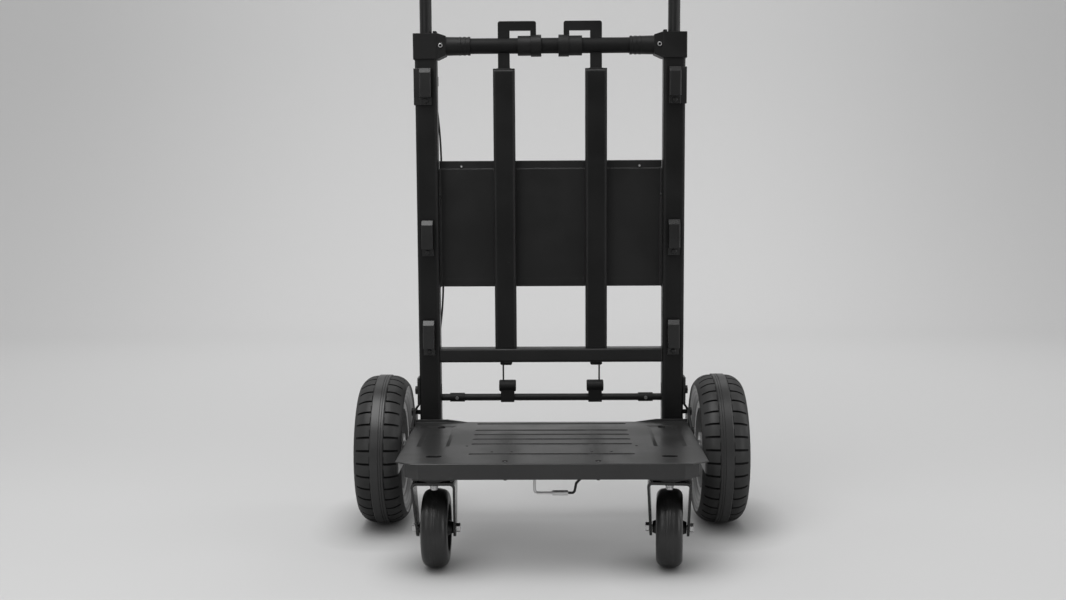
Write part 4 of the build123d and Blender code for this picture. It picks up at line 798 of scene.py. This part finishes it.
def makeHandleGrip(spec):
    low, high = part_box("handle_grip")
    half = (high.x - low.x) / 2
    full = (high.z - low.z) / 2
    collar = half - spec["collar"]
    corner = (-half, full - spec["round"])
    left = [(-half, spec["bore"]), corner]
    left += tangentArc(corner, (0, 1), (-half + spec["round"], full), spec["roundSteps"])
    left.append((-collar, full))
    ribs = []
    pitch = 2 * collar / spec["ribs"]
    first, last = spec["ribShares"]
    rise = (last - first) / 2 * pitch * math.tan(math.pi / 8)  # of an arc that starts at 45 degrees
    for index in range(spec["ribs"]):
        start = -collar + index * pitch
        ribs += [(start + share * pitch, full - spec["valley"]) for share in spec["valleyShares"]]
        foot = (start + first * pitch, full - rise)
        ribs += tangentArc(foot, (1, 1), (start + last * pitch, full - rise), spec["ribSteps"])
    right = [(-x, radius) for x, radius in reversed(left)]
    bm = spinSection(left + ribs + right, spec["steps"])
    bmesh.ops.translate(bm, verts=bm.verts, vec=(low + high) / 2)
    finishPiece(bm, "handleGrip", "handle", "handle_grip", "padRubber", spec["smooth"])


makeHandleGrip(handleGrip)


# caster tyres: a shallow dome between round shoulders, with faint rings from the mould

casterTyre = {
    "shoulder": 0.012,  # radius of the rounding
    "dome": 0.0015,  # rise of the tread towards its middle
    "thick": 0.021,
    "rings": (0.0075, 0.0040, 0.0, -0.0040, -0.0075),  # from the middle plane
    "ringWidth": 0.0010,
    "ringDepth": 0.00016,
    "shoulderSteps": 8,
    "steps": 128,
    "smooth": 40,
}


def casterSection(spec, half, crown):
    tread = half - spec["shoulder"]
    edge = crown - spec["dome"]
    side = [(half, crown - spec["thick"]), (half, edge - spec["shoulder"])]
    side += tangentArc(side[-1], (0, 1), (tread, edge), spec["shoulderSteps"])
    rings = []
    for ring in spec["rings"]:
        radius = crown - spec["dome"] * (ring / tread) ** 2
        rings += grooveAt(ring, radius, spec["ringWidth"], spec["ringDepth"])
    return side + rings + [(-x, radius) for x, radius in reversed(side)]


def makeCasterTyre(spec, side):
    low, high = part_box("left_caster_tyre")  # the left one stands square to the frame
    bm = spinSection(casterSection(spec, (high.x - low.x) / 2, (high.z - low.z) / 2), spec["steps"])
    axis = joints[side + "_caster_spin"]["axis"]
    turn = Matrix.Rotation(math.atan2(axis[1], axis[0]), 4, "Z")
    low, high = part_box(side + "_caster_tyre")
    bmesh.ops.transform(bm, matrix=Matrix.Translation((low + high) / 2) @ turn, verts=bm.verts)
    node = side + "_caster_tyre"
    finishPiece(bm, side + "CasterTyre", side + "_caster_wheel", node, "casterRubber",
                spec["smooth"])


for side in bothSides:
    makeCasterTyre(casterTyre, side)


# kingpins: a plain shank with a ridged round nut over the caster wheel

kingpin = {
    "shank": 0.0050,  # radius
    "tip": 0.0005,
    "nutLength": 0.0115,
    "nut": 0.0074,  # radius at its top
    "nutFoot": 0.0060,
    "ridges": 3,
    "ridgeDepth": 0.0009,
    "ridgeProfile": ((0, 1), (0.25, 0), (0.75, 0), (1, 1)),  # shares of the pitch and of the depth
    "steps": 48,
    "smooth": 30,
}


def kingpinSection(spec, length):
    points = [(0, 0), (0, spec["shank"] - spec["tip"]), (spec["tip"], spec["shank"])]
    pitch = spec["nutLength"] / spec["ridges"]
    for ridge in range(spec["ridges"]):
        start = spec["tip"] + ridge * pitch
        radius = spec["nutFoot"] + (spec["nut"] - spec["nutFoot"]) * ridge / (spec["ridges"] - 1)
        for along, sunk in spec["ridgeProfile"]:
            points.append((start + along * pitch, radius - sunk * spec["ridgeDepth"]))
    points.append((spec["tip"] + spec["nutLength"], spec["shank"]))
    return points + [(length, spec["shank"]), (length, 0)]


def makeKingpins(spec):
    low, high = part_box("caster_kingpins")
    bm = bmesh.new()
    for side in bothSides:
        pin = spinSection(kingpinSection(spec, high.z - low.z), spec["steps"], closed=False)
        x, y = joints[side + "_caster_swivel"]["pos_m"][:2]
        setAlong(pin, (x, y, low.z), (0, 0, 1))
        addMesh(bm, pin)
    finishPiece(bm, "kingpins", "deck", "caster_kingpins", "litNutZinc", spec["smooth"])


makeKingpins(kingpin)


# deck screws: flush heads painted near-black as painted shade of their slots, with a bright middle that is
# a painted glint, and nuts below

deckScrew = {
    "shank": 0.0025,  # radius
    "nut": 0.0045,
    "nutDrop": 0.005,  # under the deck's top
    "nutLength": 0.005,
    "glint": 0.0016,  # radius of the bright middle, a painted glint
    "dish": 0.0004,  # how deep the head is sunk around it
    "steps": 40,
    "smooth": 30,
}


def deckScrewSection(spec, length, head):
    nutTop = length - spec["nutDrop"]
    nutLow = nutTop - spec["nutLength"]
    points = [(0, 0), (0, spec["shank"]), (nutLow, spec["shank"])]
    points += [(nutLow, spec["nut"]), (nutTop, spec["nut"]), (nutTop, spec["shank"])]
    points += [(length - head + spec["shank"], spec["shank"]), (length, head)]
    return points + [(length - spec["dish"], spec["glint"]), (length, 0)]


def makeDeckScrews(spec):
    low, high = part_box("deck_screws")
    head = (high.y - low.y) / 2
    bm = bmesh.new()
    bright = bm.faces.layers.float.new("bright")
    middles = [Vector((x, (low.y + high.y) / 2)) for x in (low.x + head, high.x - head)]
    for middle in middles:
        screw = spinSection(deckScrewSection(spec, high.z - low.z, head), spec["steps"], closed=False)
        setAlong(screw, (*middle, low.z), (0, 0, 1))
        addMesh(bm, screw)
    for face in bm.faces:
        spot = face.calc_center_median()
        reach = min((spot.xy - middle).length for middle in middles)
        face[bright] = 1.0 if reach < spec["glint"] and spot.z > high.z - spec["dish"] else 0.0
    finishPiece(bm, "deckScrews", "deck", "deck_screws", "shadedScrews", spec["smooth"])


makeDeckScrews(deckScrew)


# corner screws: round heads with a wide socket painted near-black as painted shade

cornerScrew = {
    "shank": 0.0020,  # radius
    "head": 0.0025,  # height
    "socket": 0.0023,  # radius
    "socketDepth": 0.0017,
    "socketSlack": 0.0001,  # past the socket, where the bright ring starts
    "round": 0.0006,
    "roundSteps": 4,
    "steps": 40,
    "smooth": 30,
}


def cornerScrewSection(spec, length, radius):
    points = [(spec["socketDepth"], 0), (spec["socketDepth"], spec["socket"]), (0, spec["socket"])]
    points.append((0, radius - spec["round"]))
    points += tangentArc(points[-1], (0, 1), (spec["round"], radius), spec["roundSteps"])
    points += [(spec["head"], radius), (spec["head"], spec["shank"])]
    return points + [(length, spec["shank"]), (length, 0)]


def makeCornerScrews(spec):
    low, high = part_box("corner_screws")
    radius = (high.z - low.z) / 2
    bm = bmesh.new()
    bright = bm.faces.layers.float.new("bright")
    middles = [Vector((x, (low.z + high.z) / 2)) for x in (low.x + radius, high.x - radius)]
    for middle in middles:
        screw = spinSection(cornerScrewSection(spec, high.y - low.y, radius), spec["steps"], closed=False)
        setAlong(screw, (middle[0], low.y, middle[1]), (0, 1, 0))
        addMesh(bm, screw)
    for face in bm.faces:
        spot = face.calc_center_median()
        reach = min((spot.xz - middle).length for middle in middles)
        # the socket is left out of the bright mask and painted near-black: painted shade in the hollow
        face[bright] = 1.0 if reach > spec["socket"] + spec["socketSlack"] else 0.0
    finishPiece(bm, "cornerScrews", "frame", "corner_screws", "shadedScrews", spec["smooth"])


makeCornerScrews(cornerScrew)
